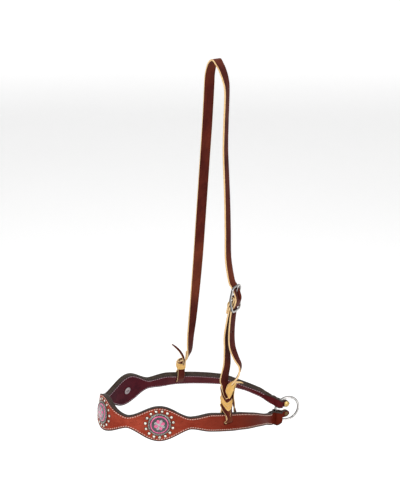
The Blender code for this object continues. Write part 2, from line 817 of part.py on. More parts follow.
def crown_knots():
    knots, steps = hitch_knots(1)
    bend_base = CROWN_HEIGHT - CROWN_BEND_RISE
    rises = [HITCH_TOP + (bend_base - HITCH_TOP) * (i + 1) / 8 for i in range(8)]
    knots.append(hitch_knot(1, HITCH_TOP, 0, STRAP_WIDTH / 2))
    knots += [leg_knot(1, rise) for rise in rises]
    steps += [2] + [4] * 8
    far_half = leg_point(1, bend_base).y
    near_half = -leg_point(-1, bend_base).y
    for i in range(1, 8):
        turn = pi * i / 8
        across = leg_axes(1, bend_base)[0].lerp(leg_axes(-1, bend_base)[0], i / 8)
        over = far_half * cos(turn) if i < 4 else -near_half * abs(cos(turn)) ** near_bend_power
        place = Vector((HITCH_X + CROWN_SETBACK, over, bend_base + CROWN_BEND_RISE * sin(turn)))
        knots.append((place - CROWN, across, STRAP_WIDTH / 2))
        steps.append(2)
    down = BUCKLE_RISE + 3 * FRAME_HALF_HEIGHT
    rises = [bend_base + (down - bend_base) * i / 6 for i in range(7)]
    knots += [leg_knot(-1, rise) for rise in rises]
    steps += [2] + [4] * 6
    drops = [FRAME_HALF_HEIGHT * share for share in (-1.4, -1, -0.66, -0.33, 0, 0.33, 0.66, 1)]
    knots.append(buckle_knot(drops[0], -BUCKLE_STAND_OFF / 2))
    steps.append(3)
    for drop in drops[1:]:
        knots.append(buckle_knot(drop, billet_out(drop)))
        steps.append(2)
    return knots, steps


def billet_tail_knots():
    """The billet's free end, bowed outward below the buckle."""
    reach = BUCKLE_RISE - FRAME_HALF_HEIGHT - HITCH_TOP
    tail = []
    for share, out_share in ((0.25, 0.33), (0.5, 0.5), (0.7, 0.9), (0.86, 1.2), (1, 1.05)):
        rise = BUCKLE_RISE - FRAME_HALF_HEIGHT - reach * share
        out = BUCKLE_STAND_OFF + BUCKLE_STAND_OFF * out_share
        centre, across, _ = leg_knot(-1, rise, out)
        half = STRAP_WIDTH / 2 if share < 0.9 else STRAP_WIDTH / 5
        tail.append((centre, leg_axes(-1, BUCKLE_RISE)[0], half))
    return tail


def make_crown_strap():
    grain = material("strap_leather", GRAIN, 0.5)
    knots, steps = crown_knots()
    knots += billet_tail_knots()
    steps += [3, 3, 3, 2, 2]
    strap = ribbon("crown_strap", smooth_path(knots, steps), STRAP, grain)
    across, outward = leg_axes(-1, BUCKLE_RISE)
    holes = []
    low, high = tongue_window()
    window = axes(buckle_centre() + Z * (low + high) / 2 + outward * BILLET_MID, Z, outward)
    holes.append(rod("tongue_window", window, TONGUE_WIRE + 2 * CLEARANCE, BILLET_MID * 2, 12, high - low))
    for i in range(BILLET_HOLES):
        drop = FRAME_HALF_HEIGHT + BILLET_POINT / 2 + BILLET_HOLE_PITCH * i
        rise = BUCKLE_RISE - drop
        centre = leg_knot(-1, rise, BUCKLE_STAND_OFF * 1.5)[0]
        holes.append(rod("billet_hole", axes(centre, Z, outward), BILLET_HOLE_RADIUS,
                         3 * BUCKLE_STAND_OFF, 10))
    cut(strap, joined("billet_holes", holes))


def tongue_rest():
    """Angle from upright at which the tongue lies on the top bar."""
    return atan2(FRAME_ARCH + FRAME_WIRE + CLEARANCE + TONGUE_WIRE, FRAME_HALF_HEIGHT)


def tongue_window():
    """Heights over the centre bar between which the tongue passes the billet as it swings."""
    rest = tongue_rest()
    slope = (BILLET_MID - BAR_BACK) / FRAME_HALF_HEIGHT
    low_tilt = rest + TONGUE_OPEN
    low = (BILLET_MID - STRAP) / (sin(low_tilt) / cos(low_tilt) + slope) - 2 * TONGUE_WIRE
    high = (BILLET_MID + STRAP) / (sin(rest) / cos(rest) + slope) + 2 * TONGUE_WIRE
    return low, high


def make_cheek_strap():
    grain = material("cheek_leather", GRAIN, 0.5)
    layer = STRAP + 4 * CLEARANCE
    back = []
    for share in (1, 0.6, 0.25):
        drop = FOLD_LENGTH * share
        back.append(buckle_knot(drop, billet_out(drop) - 2 * layer - FRAME_WIRE * (1 - share)))
    fold = []
    for turn in (180, 135, 90, 45, 0):
        angle = radians(turn)
        fold.append(buckle_knot(-FOLD_MID * sin(angle), FOLD_MID * cos(angle)))
    front = []
    for share in (0.33, 0.66, 1):
        drop = FRAME_HALF_HEIGHT * share
        front.append(buckle_knot(drop, billet_out(drop) - layer))
    low = BUCKLE_RISE - 3 * FRAME_HALF_HEIGHT
    rises = [low + (HITCH_TOP - low) * i / 3 for i in range(3)]
    down = [leg_knot(-1, rise) for rise in rises] + [hitch_knot(-1, HITCH_TOP, 0, STRAP_WIDTH / 2)]
    hitch, hitch_steps = hitch_knots(-1)
    knots = back + fold + front + down + hitch[::-1]
    steps = [2, 2, 2] + [2] * 4 + [2] + [2, 2] + [4] + [3] * 3 + [2] + hitch_steps[::-1]
    strap = ribbon("cheek_strap", smooth_path(knots, steps), STRAP, grain)
    across, outward = leg_axes(-1, BUCKLE_RISE)
    slot = box("tongue_slot", axes(buckle_centre() + Z * FOLD_MID / 2, across, outward),
               2 * (TONGUE_WIRE + 2 * CLEARANCE), 4 * FOLD_MID, 4 * FOLD_MID)
    bore = rod("fold_bore", axes(fold_screw_centre(), across, outward),
               SHAFT_RADIUS + CLEARANCE, 2 * BUCKLE_STAND_OFF)
    cut(strap, joined("cheek_cuts", [slot, bore]))


def fold_screw_centre():
    outward = leg_axes(-1, BUCKLE_RISE)[1]
    return buckle_centre() - Z * FOLD_SCREW_DROP


def make_buckle():
    nickel = material("buckle_nickel", NICKEL, 0.25, 1)
    centre = buckle_centre()
    across, outward = leg_axes(-1, BUCKLE_RISE)
    points = []
    for i in range(48):
        turn = 2 * pi * i / 48
        power = 2 / FRAME_SQUARENESS
        side = abs(cos(turn)) ** power * (1 if cos(turn) >= 0 else -1)
        rise = abs(sin(turn)) ** power * (1 if sin(turn) >= 0 else -1)
        points.append(centre + across * FRAME_HALF_WIDTH * side + Z * FRAME_HALF_HEIGHT * rise
                      + outward * FRAME_ARCH * ease(abs(rise) / arch_share))
    loop = wire("frame_loop", points, FRAME_WIRE, True, None, cutters, 1)
    frame_mesh = evaluated(loop)
    bpy.data.objects.remove(loop)
    frame = add_object("buckle_frame", frame_mesh, parts, nickel)
    ends = [centre - across * FRAME_HALF_WIDTH, centre + across * FRAME_HALF_WIDTH]
    bar = wire("bar", ends, FRAME_WIRE * 0.98, False, None, cutters, 1)
    cut(frame, joined("centre_bar", [bar]), 'UNION')

    rest = tongue_rest()
    length = hypot(FRAME_HALF_HEIGHT + TONGUE_OVERHANG, FRAME_ARCH)
    ring_radius = FRAME_WIRE + CLEARANCE + TONGUE_WIRE
    direction = Z * cos(rest) + outward * sin(rest)
    hinge = []
    for i in range(20):
        turn = 2 * pi * i / 20
        hinge.append((Z * cos(turn) + outward * sin(turn)) * ring_radius)
    eye = wire("tongue_eye", hinge, TONGUE_WIRE, True, None, cutters, 1)
    eye_mesh = evaluated(eye)
    bpy.data.objects.remove(eye)
    tongue = add_object("buckle_tongue", eye_mesh, parts, material("tongue_nickel", NICKEL, 0.25, 1))
    arm = wire("arm", [direction * ring_radius, direction * length], TONGUE_WIRE * 0.96, False, None,
               cutters, 1)
    arm_operand = joined("tongue_arm", [arm])
    arm_operand.location = centre
    tongue.location = centre
    cut(tongue, arm_operand, 'UNION')

    brass = material("brass", BRASS, 0.3, 1)
    layer = STRAP + 4 * CLEARANCE
    front = billet_out(FOLD_SCREW_DROP) - layer
    back = -(billet_out(FOLD_SCREW_DROP) - 2 * layer - FRAME_WIRE / 2)
    seat = back + STRAP / 2 + 4 * CLEARANCE
    inward = axes(fold_screw_centre() - outward * seat, across, -outward)
    reach = seat + front + CLEARANCE
    profile = [(0, -reach), (SHAFT_RADIUS, -reach), (SHAFT_RADIUS, 0), (DOME_RADIUS, 0)]
    for i in range(5):
        turn = pi / 2 * i / 5
        profile.append((DOME_RADIUS * cos(turn), EDGE_ROUND + (DOME_RISE / 2 - EDGE_ROUND) * sin(turn)))
    turned("buckle_screw", profile + [(0, DOME_RISE / 2)], 20, inward, brass)


# Hitch collars and tails

def make_collar(name, side, rise, look):
    """A strand drawn tight round both legs, dipping to a point on each face."""
    half_width = STRAP_WIDTH / 2 + CLEARANCE + COLLAR_THICK / 2
    count = 32

    def place(column, row):
        turn = 2 * pi * column / count
        across = abs(cos(turn)) ** 0.5 * (1 if cos(turn) >= 0 else -1)
        out = abs(sin(turn)) ** 0.5 * (1 if sin(turn) >= 0 else -1)
        height = rise - COLLAR_DIP * (1 - abs(across)) + row * COLLAR_HEIGHT / 2
        face = OUTER_FACE if out > 0 else LINING_FACE
        half_depth = leg_spread(height, face) + STRAP / 2 + COLLAR_THICK / 2 + 2 * CLEARANCE
        origin, level, _, outward = hitch_frame(side, height)
        return origin + level * across * half_width + outward * out * half_depth

    item = grid_object(name, count, 2, place, look)
    weld = item.modifiers.new("close_loop", 'WELD')
    weld.merge_threshold = MERGE
    thicken(item, COLLAR_THICK)
    return item


def make_tail(name, side, look, reach_side):
    """The strap's pointed end, lying on the collars and turning away at the top."""
    lift = STRAP + COLLAR_THICK + TAIL_THICK / 2 + 5 * CLEARANCE
    knots = []
    for height, shift, half in ((LOW_COLLAR_RISE, -0.05, 0.15), (TOP_COLLAR_RISE - COLLAR_DIP / 4, 0.1, 1),
                                (HITCH_RISE, 0.4, 1), (HITCH_TOP, 1, 0.75),
                                (HITCH_TOP - TAIL_WIDTH / 3, 1.7, 0.2)):
        origin, level, up, outward = hitch_frame(side, height)
        front = outward if side < 0 else -outward
        centre = origin + level * (reach_side * shift * TAIL_REACH) + front * lift
        across = level - up * reach_side * (0.4 if height < HITCH_TOP else -0.4)
        knots.append((centre, across, half * TAIL_WIDTH / 2))
    return ribbon(name, smooth_path(knots, [3, 3, 3, 3]), TAIL_THICK, look)


def make_hitch(name, side):
    tan = material("flesh_side_leather", FLESH, 0.7)
    grain = material("strand_leather", GRAIN, 0.5)
    make_collar(f"{name}_hitch_low_strand", side, LOW_COLLAR_RISE, tan)
    make_collar(f"{name}_hitch_top_strand", side, TOP_COLLAR_RISE, grain)
    make_tail(f"{name}_hitch_tail", side, tan, 1)


clear_scene()
parts = collection("bridle_noseband")
cutters = collection("cutters")
make_band()
for concho_name, lobe in (("near", -1), ("front", 0), ("far", 1)):
    make_concho(concho_name, lobe * LOBE_PITCH)
make_ring()
for end_name, end_side in (("near", -1), ("far", 1)):
    make_end_screw(end_name, end_side)
make_crown_strap()
make_cheek_strap()
make_buckle()
make_hitch("near", -1)
make_hitch("far", 1)
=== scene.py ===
"""Looks of the bridle noseband: leather, metal, stitching, light and camera round the solids."""

from math import asin, atan2, cos, hypot, pi, radians, sin, sqrt, tan

import bmesh
import bpy
import numpy as np
from mathutils import Matrix, Vector
from mathutils.kdtree import KDTree


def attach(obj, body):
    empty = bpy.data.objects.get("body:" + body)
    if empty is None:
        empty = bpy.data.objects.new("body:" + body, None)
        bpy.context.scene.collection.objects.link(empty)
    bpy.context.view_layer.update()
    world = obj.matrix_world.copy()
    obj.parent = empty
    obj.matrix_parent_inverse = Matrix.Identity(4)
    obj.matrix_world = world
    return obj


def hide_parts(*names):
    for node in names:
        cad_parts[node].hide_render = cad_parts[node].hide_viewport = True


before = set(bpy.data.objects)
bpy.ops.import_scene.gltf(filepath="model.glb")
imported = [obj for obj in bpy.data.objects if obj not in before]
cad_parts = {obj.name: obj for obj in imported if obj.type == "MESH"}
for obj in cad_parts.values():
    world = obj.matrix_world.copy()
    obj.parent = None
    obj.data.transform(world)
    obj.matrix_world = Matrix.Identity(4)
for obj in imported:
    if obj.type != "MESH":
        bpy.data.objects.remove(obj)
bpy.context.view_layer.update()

# Camera, from the fit to the photograph
CAMERA_PLACE = Vector((-0.7332, -1.4074, 0.2885))
CAMERA_AZIMUTH = radians(-26.67)
CAMERA_ELEVATION = radians(20.0)
SENSOR = 36
LENS = 79.8

# The dimensions and formulas of the solids, repeated from their source, in metres

# Fits
CLEARANCE = 0.0003
OVERRUN = 0.004

# Plan of the band: heading in degrees at shares of its half length
HALF_LENGTH = 0.3485
END_RUN = 0.015
HEADING_SHARES = (0, 0.045, 0.069, 0.092, 0.115, 0.137, 0.211, 0.274, 0.422, 0.527, 0.633,
                  0.738, 0.844, 1)
HEADINGS = (0, 6, 24, 42, 50, 53, 61, 67, 81, 92.7, 103.8, 112.8, 118.9, 123.6)
ROUNDING_SHARE = 0.024
PLAN_STEPS = 800

# Height of the band's middle line over the hitches, near side (-1) and far side (1)
HEIGHT_SHARES = (0, 0.15, 0.28, 0.42, 0.5, 0.59, 0.67, 0.79, 0.9, 0.975, 1.01, 1.043, 1.12)
SIDE_HEIGHTS = {-1: (0.0215, 0.0206, 0.0182, 0.0145, 0.0098, 0.0017, -0.0067, -0.023, -0.041,
                     -0.0525, -0.0562, -0.058, -0.058),
                1: (0.0215, 0.02, 0.0157, 0.0108, 0.0092, 0.0061, 0.0034, 0.0003, -0.01,
                    -0.0193, -0.0284, -0.0366, -0.041)}
RING_HEIGHT = -0.0484

# Inward lean of the band's face, in degrees
LEAN_SHARES = (0, 0.345, 0.44, 0.56, 0.9, 0.97, 1.01)
SIDE_LEANS = {-1: (8, 8, 8, 8, 4, 0, 0), 1: (8, 8, 20, 36, 34, 14, 0)}

# Outline of the band
LOBE_PITCH = 0.0958
LOBE_HEIGHT = 0.054
NECK_HEIGHT = 0.019
CHEEK_HEIGHT = 0.0285
CHEEK_RISE = 0.034
END_HEIGHT = 0.018
LOBE_SHARPNESS = 1.6
HITCH_S = 0.2055
BAND_STEP = 0.008

# Plies
OUTER_PLY = 0.0028
CORE_PLY = 0.0022
LINING_PLY = 0.0026
LINING_INSET = 0.0004

# Chin ring and the tabs that hold it
RING_RADIUS = 0.0206
RING_WIRE = 0.0019
HINGE_INSET = 0.003
RING_REST = radians(-8)
RING_SWING = radians(28)
TAB_HEIGHT = 0.012
TAB_NARROWING = 0.008
TAB_FULL = 0.001
SCREW_REACH = 0.0192
TAB_REACH = 0.0252
TUNNEL_REACH = 0.0092
TUNNEL_FLAT = 0.0048

# Conchos and their screws
CONCHO_RADIUS = 0.0172
CONCHO_SCALLOP = 0.0006
CONCHO_SCALLOPS = 20
FIELD_RADIUS = 0.0142
FIELD_EDGE = 0.0012
FIELD_RISE = 0.0032
ROSETTE_RADIUS = 0.0086
ROSETTE_PETALS = 8
POST_RADIUS = 0.0024
BACK_RADIUS = 0.006
BACK_THICK = 0.0014

# Spots round each concho
SPOT_CIRCLE = 0.0205
SPOT_RADIUS = 0.0021
SPOT_RISE = 0.0015
SPOTS = 15
SPOT_TURN = 0.1

# Brass screws at the ring and at the buckle
DOME_RADIUS = 0.0052
DOME_RISE = 0.0034
CAP_RADIUS = 0.0036
CAP_RISE = 0.0009
SHAFT_RADIUS = 0.0019

# Hanger: its legs' gaps are shares of the hitches' gap, at shares of the height
STRAP = 0.0028
STRAP_WIDTH = 0.0155
CROWN_SETBACK = 0.0197
SETBACK_POWER = 0.7
CROWN_BEND_RISE = 0.042
CROWN_HEIGHT = 0.5436
LEG_GAPS = {-1: ((0, 0.15, 0.26, 0.4, 0.48, 0.69, 0.83, 0.89, 1),
                 (1, 0.86, 0.79, 0.755, 0.725, 0.574, 0.436, 0.422, 0.42)),
            1: ((0, 0.12, 0.18, 0.285, 0.41, 0.645, 0.805, 0.96, 1),
                (1, 0.783, 0.738, 0.661, 0.567, 0.45, 0.369, 0.287, 0.285))}
NEAR_BEND_POWER = 1.6
NEAR_TWIST = radians(31)
NEAR_CROWN_TWIST = radians(40)
FAR_TWIST = radians(7)
TWIST_RUN = 0.04

# Hitches
LEG_WIDTH = 0.0112
LEG_TURN = 0.0032
SLOT_MARGIN = 0.0006
STRAIGHTENING = 0.02
HITCH_STEPS = 16
HITCH_LEANS = {-1: radians(9), 1: radians(8)}
NECK_RISE = 0.029
HITCH_RISE = 0.057
HITCH_TOP = 0.068
COLLAR_THICK = 0.0021
TAIL_THICK = 0.0018
SHOULDER = CHEEK_HEIGHT / 2

# Buckle
BUCKLE_RISE = 0.2002
BUCKLE_STAND_OFF = 0.0115
FRAME_HALF_WIDTH = 0.0124
FRAME_HALF_HEIGHT = 0.0193
FRAME_WIRE = 0.0017
FRAME_ARCH = 0.0025
FRAME_SQUARENESS = 5
ARCH_SHARE = 0.85
TONGUE_WIRE = 0.0011
TONGUE_OVERHANG = 0.0026
TONGUE_OPEN = radians(30)
FOLD_LENGTH = 0.0245
FOLD_SCREW_DROP = 0.0125
BILLET_HOLE_PITCH = 0.029
BILLET_HOLE_RADIUS = 0.0017
BILLET_HOLES = 3
BILLET_POINT = 0.012

OUTER_MID = CORE_PLY / 2 + CLEARANCE + OUTER_PLY / 2
LINING_MID = CORE_PLY / 2 + CLEARANCE + LINING_PLY / 2
OUTER_FACE = OUTER_MID + OUTER_PLY / 2
LINING_FACE = LINING_MID + LINING_PLY / 2
BILLET_MID = FRAME_WIRE + CLEARANCE + STRAP + CLEARANCE + STRAP / 2
BAR_BACK = FRAME_ARCH - FRAME_WIRE - 2 * CLEARANCE - STRAP / 2
FOLD_MID = FRAME_WIRE + CLEARANCE + STRAP / 2
FOLD_LAYER = STRAP + 4 * CLEARANCE
Z = Vector((0, 0, 1))


def ease(share):
    """Smooth step from 0 to 1."""
    share = np.clip(share, 0, 1)
    return share * share * (3 - 2 * share)


def smoothed(track, arc, mirror):
    """A running average; the track goes on past the front mirrored, and level past its end."""
    width = int(ROUNDING_SHARE * HALF_LENGTH / (arc[1] - arc[0])) + 1
    padded = np.concatenate([mirror * track[width:0:-1], track, np.full(width, track[-1])])
    window = np.hanning(2 * width + 1)
    return np.convolve(padded, window / window.sum(), 'valid')


def plan_table():
    """Arc length, heading and plan position from the front lobe's centre past the tab's tip."""
    arc = np.linspace(0, HALF_LENGTH + END_RUN + TAB_REACH, PLAN_STEPS + 1)
    heading = np.radians(np.interp(arc / HALF_LENGTH, HEADING_SHARES, HEADINGS))
    heading = smoothed(heading, arc, -1)
    closing = np.clip(arc / HALF_LENGTH - HITCH_S / HALF_LENGTH, 0, None)
    turn = ease((arc - HALF_LENGTH) / END_RUN)
    low, high = radians(-60), radians(60)
    for _ in range(40):
        middle = (low + high) / 2
        trial = heading + middle * closing
        trial = trial + (pi / 2 - trial) * turn
        x, y = (np.concatenate([[0], np.cumsum((part[1:] + part[:-1]) / 2 * (arc[1] - arc[0]))])
                for part in (np.sin(trial), np.cos(trial)))
        if np.interp(HALF_LENGTH + END_RUN, arc, y) > 0:
            low = middle
        else:
            high = middle
    return arc, trial, x, y


ARC, HEADING, PLAN_X, PLAN_Y = plan_table()
RING_S = HALF_LENGTH + END_RUN
SCREW_S = RING_S + SCREW_REACH
TIP_S = RING_S + TAB_REACH
HEIGHTS, LEANS = ({side: smoothed(np.interp(ARC / HALF_LENGTH, shares, table[side]), ARC, 1)
                   for side in (-1, 1)}
                  for shares, table in ((HEIGHT_SHARES, SIDE_HEIGHTS), (LEAN_SHARES, SIDE_LEANS)))


def track(s, table):
    """A smooth table's value at an arc place of either side."""
    return float(np.interp(abs(s), ARC, table))


def wire_exit():
    """How far into the tabs the ring's wire runs before it leaves them at their outer edges."""
    reaches = []
    for side in (-1, 1):
        for turn in np.linspace(0, pi / 2, PLAN_STEPS):
            reach = RING_RADIUS * (1 - cos(turn))
            offset = abs(track(RING_S + reach, HEIGHTS[side]) - RING_HEIGHT)
            if RING_RADIUS * sin(turn) < offset + TAB_HEIGHT / 2:
                reaches.append(reach)
    return max(reaches)


WIRE_EXIT = wire_exit()
# Room on each side of the tabs' plane for the wire where it leaves them, at the swing's ends
TUNNEL_HALF_GAP = (WIRE_EXIT - HINGE_INSET) * sin(RING_SWING) + RING_WIRE + 2 * CLEARANCE
HITCH_X, HITCH_Y = track(HITCH_S, PLAN_X), track(HITCH_S, PLAN_Y)
CROWN = Vector((HITCH_X + CROWN_SETBACK, 0, CROWN_HEIGHT - STRAP / 2))
RING_AXIS = Vector((track(RING_S, PLAN_X) + HINGE_INSET, 0, RING_HEIGHT)) - CROWN


def middle(s):
    side = 1 if s >= 0 else -1
    return Vector((track(s, PLAN_X), side * track(s, PLAN_Y), track(s, HEIGHTS[side]))) - CROWN


def band_frame(s):
    """Origin on the middle surface, with the directions along, up and outward."""
    side = 1 if s >= 0 else -1
    heading = side * track(s, HEADING)
    outward = Vector((-cos(heading), sin(heading), 0))
    step = BAND_STEP / 2
    along = (middle(s + step) - middle(s - step)).normalized()
    along = (along - outward * along.dot(outward)).normalized()
    settle = ease((abs(s) - HITCH_S) / (HALF_LENGTH - HITCH_S))
    up = (Z - along * along.z * (1 - settle)).normalized()
    lean = radians(track(s, LEANS[side]))
    return (middle(s), along, up * cos(lean) - outward * sin(lean),
            outward * cos(lean) + up * sin(lean))


def half_height(s):
    s = abs(s)
    if s < 1.5 * LOBE_PITCH:
        wave = abs(cos(pi * s / LOBE_PITCH)) ** LOBE_SHARPNESS
        return (NECK_HEIGHT + (LOBE_HEIGHT - NECK_HEIGHT) * wave) / 2
    rise = ease((s - 1.5 * LOBE_PITCH) / CHEEK_RISE)
    fall = ease((s - HITCH_S) / (HALF_LENGTH - HITCH_S))
    height = NECK_HEIGHT + (CHEEK_HEIGHT - NECK_HEIGHT) * rise + (END_HEIGHT - CHEEK_HEIGHT) * fall
    height += (TAB_HEIGHT - END_HEIGHT) * ease((s - RING_S - TAB_FULL) / TAB_NARROWING)
    over = s - (TIP_S - TAB_HEIGHT / 2)
    if over > 0:
        height *= sqrt(max(1 - min(over / (TAB_HEIGHT / 2), 1) ** 2, 0.12))
    return height / 2


def ply_offset(s, mid, thick):
    """Outward place of a ply: beside the core, round the ring's tunnel, then on the other ply."""
    s = abs(s)
    closed = CLEARANCE / 2 + thick / 2
    base = mid + (closed - mid) * ease((s - HALF_LENGTH) / (RING_S - HALF_LENGTH))
    bulge = TUNNEL_HALF_GAP + thick / 2 - closed
    from_centre = abs(s - RING_S - WIRE_EXIT / 2)
    return base + bulge * ease((TUNNEL_REACH - from_centre) / (TUNNEL_REACH - TUNNEL_FLAT))


def axes(origin, x_axis, z_axis):
    """A right-handed placement from its origin and its X and Z directions."""
    y_axis = z_axis.cross(x_axis).normalized()
    x_axis = y_axis.cross(z_axis).normalized()
    return Matrix.Translation(origin) @ Matrix((x_axis, y_axis, z_axis)).transposed().to_4x4()


def smooth_path(knots, steps):
    """Catmull-Rom stations through knots of (centre, width direction, half width)."""
    stations = []
    for i, count in enumerate(steps):
        around = [knots[min(max(i + k, 0), len(knots) - 1)] for k in (-1, 0, 1, 2)]
        for j in range(count + (i == len(steps) - 1)):
            t = j / count
            values = []
            for field in range(3):
                a, b, c, d = (knot[field] for knot in around)
                values.append(b + (c - b) * t if field == 2 else
                              0.5 * (2 * b + (c - a) * t + (2 * a - 5 * b + 4 * c - d) * t ** 2
                                     + (3 * b - a - 3 * c + d) * t ** 3))
            stations.append(values)
    return stations


def band_place(s, height, out):
    """Local X along the band, Y up it and Z outward."""
    origin, along, up, outward = band_frame(s)
    return axes(origin + up * height + outward * out, along, outward)


def leg_point(side, rise):
    """Place of a hanger leg's middle at a height over the slots."""
    share = rise / (CROWN_HEIGHT - CROWN_BEND_RISE)
    half = HITCH_Y * float(np.interp(share, *LEG_GAPS[side]))
    back = HITCH_X + CROWN_SETBACK * min(share, 1) ** SETBACK_POWER
    return Vector((back, side * half, rise)) - CROWN


def leg_axes(side, rise):
    """Width direction and outward direction of a leg, turned a little about its length."""
    crown_share = ease((rise - BUCKLE_RISE) / (CROWN_HEIGHT - CROWN_BEND_RISE - BUCKLE_RISE))
    near_twist = NEAR_TWIST + (NEAR_CROWN_TWIST - NEAR_TWIST) * crown_share
    twist = (near_twist if side < 0 else FAR_TWIST) * ease((rise - HITCH_TOP) / TWIST_RUN)
    across = Vector((cos(twist), sin(twist), 0))
    return across, Vector((sin(twist), -cos(twist), 0)) * -side


def leg_knot(side, rise, out=0):
    across, outward = leg_axes(side, rise)
    return (leg_point(side, rise) + outward * out, across, STRAP_WIDTH / 2)


def hitch_frame(side, height):
    """Frame of the hitch: it follows the band's face from the slot, then straightens."""
    origin, _, _, outward = band_frame(side * HITCH_S)
    flat = Vector((outward.x, outward.y, 0)).normalized()
    lean = asin(outward.z)
    back = Vector((CROWN_SETBACK / (CROWN_HEIGHT - CROWN_BEND_RISE), 0, 0))
    over = max(height - SHOULDER, 0)
    origin = origin + (Z * cos(lean) - flat * sin(lean)) * min(height, SHOULDER)
    for i in range(HITCH_STEPS):
        turned_share = ease(over * (i + 0.5) / HITCH_STEPS / STRAIGHTENING)
        angle = lean + (HITCH_LEANS[side] - lean) * turned_share
        ahead = Z * cos(angle) - flat * sin(angle) + back * turned_share
        origin = origin + ahead * over / HITCH_STEPS
    angle = lean + (HITCH_LEANS[side] - lean) * ease(over / STRAIGHTENING)
    return (origin, flat.cross(Z), Z * cos(angle) - flat * sin(angle),
            flat * cos(angle) + Z * sin(angle))


def hitch_point(side, across, height, out):
    origin, level, _, outward = hitch_frame(side, height)
    return origin + level * across + outward * out


def hitch_knot(side, height, out, half):
    return (hitch_point(side, 0, height, out), hitch_frame(side, height)[1] * side, half)


def leg_spread(height, face):
    """How far out a hitch leg's middle lies: clear of the band below, paired above."""
    beside = face + STRAP / 2 + 2 * CLEARANCE
    paired = STRAP / 2 + CLEARANCE
    return paired + (beside - paired) * ease((NECK_RISE - height) / (NECK_RISE - SHOULDER))


def hitch_knots(side):
    """From the end behind the band down its inside, through the slot and up the outside."""
    waist = (SHOULDER + NECK_RISE) / 2
    turn = LEG_TURN * (1 - cos(pi / 4))

    def leg(face):
        low, paired = leg_spread(0, face), leg_spread(NECK_RISE, face)
        return [(HITCH_RISE, paired), (NECK_RISE, paired), (waist, leg_spread(waist, face)),
                (SHOULDER, low), (LEG_TURN, low), (turn, low - turn), (0, low - LEG_TURN)]

    places = [(height, -out) for height, out in leg(LINING_FACE)] + leg(OUTER_FACE)[::-1]
    return [hitch_knot(side, height, out, LEG_WIDTH / 2) for height, out in places]


def billet_out(drop):
    """Outward place of the billet at a drop below the centre bar."""
    share = min(abs(drop) / FRAME_HALF_HEIGHT, 1)
    return BAR_BACK + (BILLET_MID - BAR_BACK) * (1 - share ** 1.5)


BUCKLE_ACROSS, BUCKLE_OUT = leg_axes(-1, BUCKLE_RISE)
BUCKLE_CENTRE = leg_point(-1, BUCKLE_RISE) + BUCKLE_OUT * BUCKLE_STAND_OFF
FOLD_SCREW = BUCKLE_CENTRE - Z * FOLD_SCREW_DROP
TONGUE_REST = atan2(FRAME_ARCH + FRAME_WIRE + CLEARANCE + TONGUE_WIRE, FRAME_HALF_HEIGHT)
# Heights over the centre bar between which the tongue passes the billet as it swings
BILLET_SLOPE = (BILLET_MID - BAR_BACK) / FRAME_HALF_HEIGHT
TONGUE_LOW = ((BILLET_MID - STRAP) / (tan(TONGUE_REST + TONGUE_OPEN) + BILLET_SLOPE)
              - 2 * TONGUE_WIRE)
TONGUE_HIGH = (BILLET_MID + STRAP) / (tan(TONGUE_REST) + BILLET_SLOPE) + 2 * TONGUE_WIRE


def buckle_knot(drop, out):
    return (BUCKLE_CENTRE - Z * drop + BUCKLE_OUT * out, BUCKLE_ACROSS, STRAP_WIDTH / 2)


# Node materials

class Nodes:
    """The node tree of a material or a world, with short calls for the nodes used here."""

    def __init__(self, owner):
        owner.use_nodes = True
        self.owner = owner
        self.tree = owner.node_tree

    def add(self, kind, inputs=None, **settings):
        node = self.tree.nodes.new(kind)
        for key, value in settings.items():
            setattr(node, key, value)
        for key, value in (inputs or {}).items():
            self.put(value, node.inputs[key])
        return node

    def put(self, value, socket):
        if isinstance(value, bpy.types.NodeSocket):
            self.tree.links.new(value, socket)
        else:
            socket.default_value = value

    def mapped(self, vector, scale):
        return self.add('ShaderNodeMapping', {"Vector": vector, "Scale": scale}).outputs["Vector"]

    def noise(self, vector, scale, detail=3, rough=0.5):
        return self.add('ShaderNodeTexNoise', {"Vector": vector, "Scale": scale, "Detail": detail,
                                               "Roughness": rough}).outputs["Fac"]

    def span(self, value, low, high, to_low=0.0, to_high=1.0):
        ends = {"Value": value, "From Min": low, "From Max": high, "To Min": to_low,
                "To Max": to_high}
        return self.add('ShaderNodeMapRange', ends).outputs["Result"]

    def mix(self, share, first, second):
        colours = [(*end, 1) if isinstance(end, tuple) else end for end in (first, second)]
        return self.add('ShaderNodeMix', {0: share, 6: colours[0], 7: colours[1]},
                        data_type='RGBA').outputs[2]

    def math(self, operation, first, second):
        return self.add('ShaderNodeMath', {0: first, 1: second}, operation=operation).outputs[0]

    def plus(self, first, second):
        return self.math('ADD', first, second)

    def times(self, first, second):
        return self.math('MULTIPLY', first, second)

    def mark(self, name, output="Fac"):
        return self.add('ShaderNodeAttribute', attribute_name=name).outputs[output]

    def place(self):
        return self.add('ShaderNodeTexCoord').outputs["Object"]

    def bump(self, height, distance):
        return self.add('ShaderNodeBump', {"Height": height, "Distance": distance,
                                           "Strength": 1.0}).outputs["Normal"]

    def background_rays(self):
        """1 for the rays that see floor, backdrop and world as a white background."""
        rays = self.add('ShaderNodeLightPath').outputs
        seen = self.math('MAXIMUM', rays["Is Camera Ray"], rays["Is Glossy Ray"])
        return self.math('MAXIMUM', seen, rays["Is Transmission Ray"])

    def finish(self, **values):
        for key, value in values.items():
            self.put(value, self.tree.nodes["Principled BSDF"].inputs[key.replace("_", " ")])
        return self.owner


def material(name):
    return Nodes(bpy.data.materials.new(name))


# Painted shade: the tone the face leather turns to towards the band's ends, darker there; on the
# lining it turns the ends redder.
END_SHADE_TONE = (0.125, 0.013, 0.005)


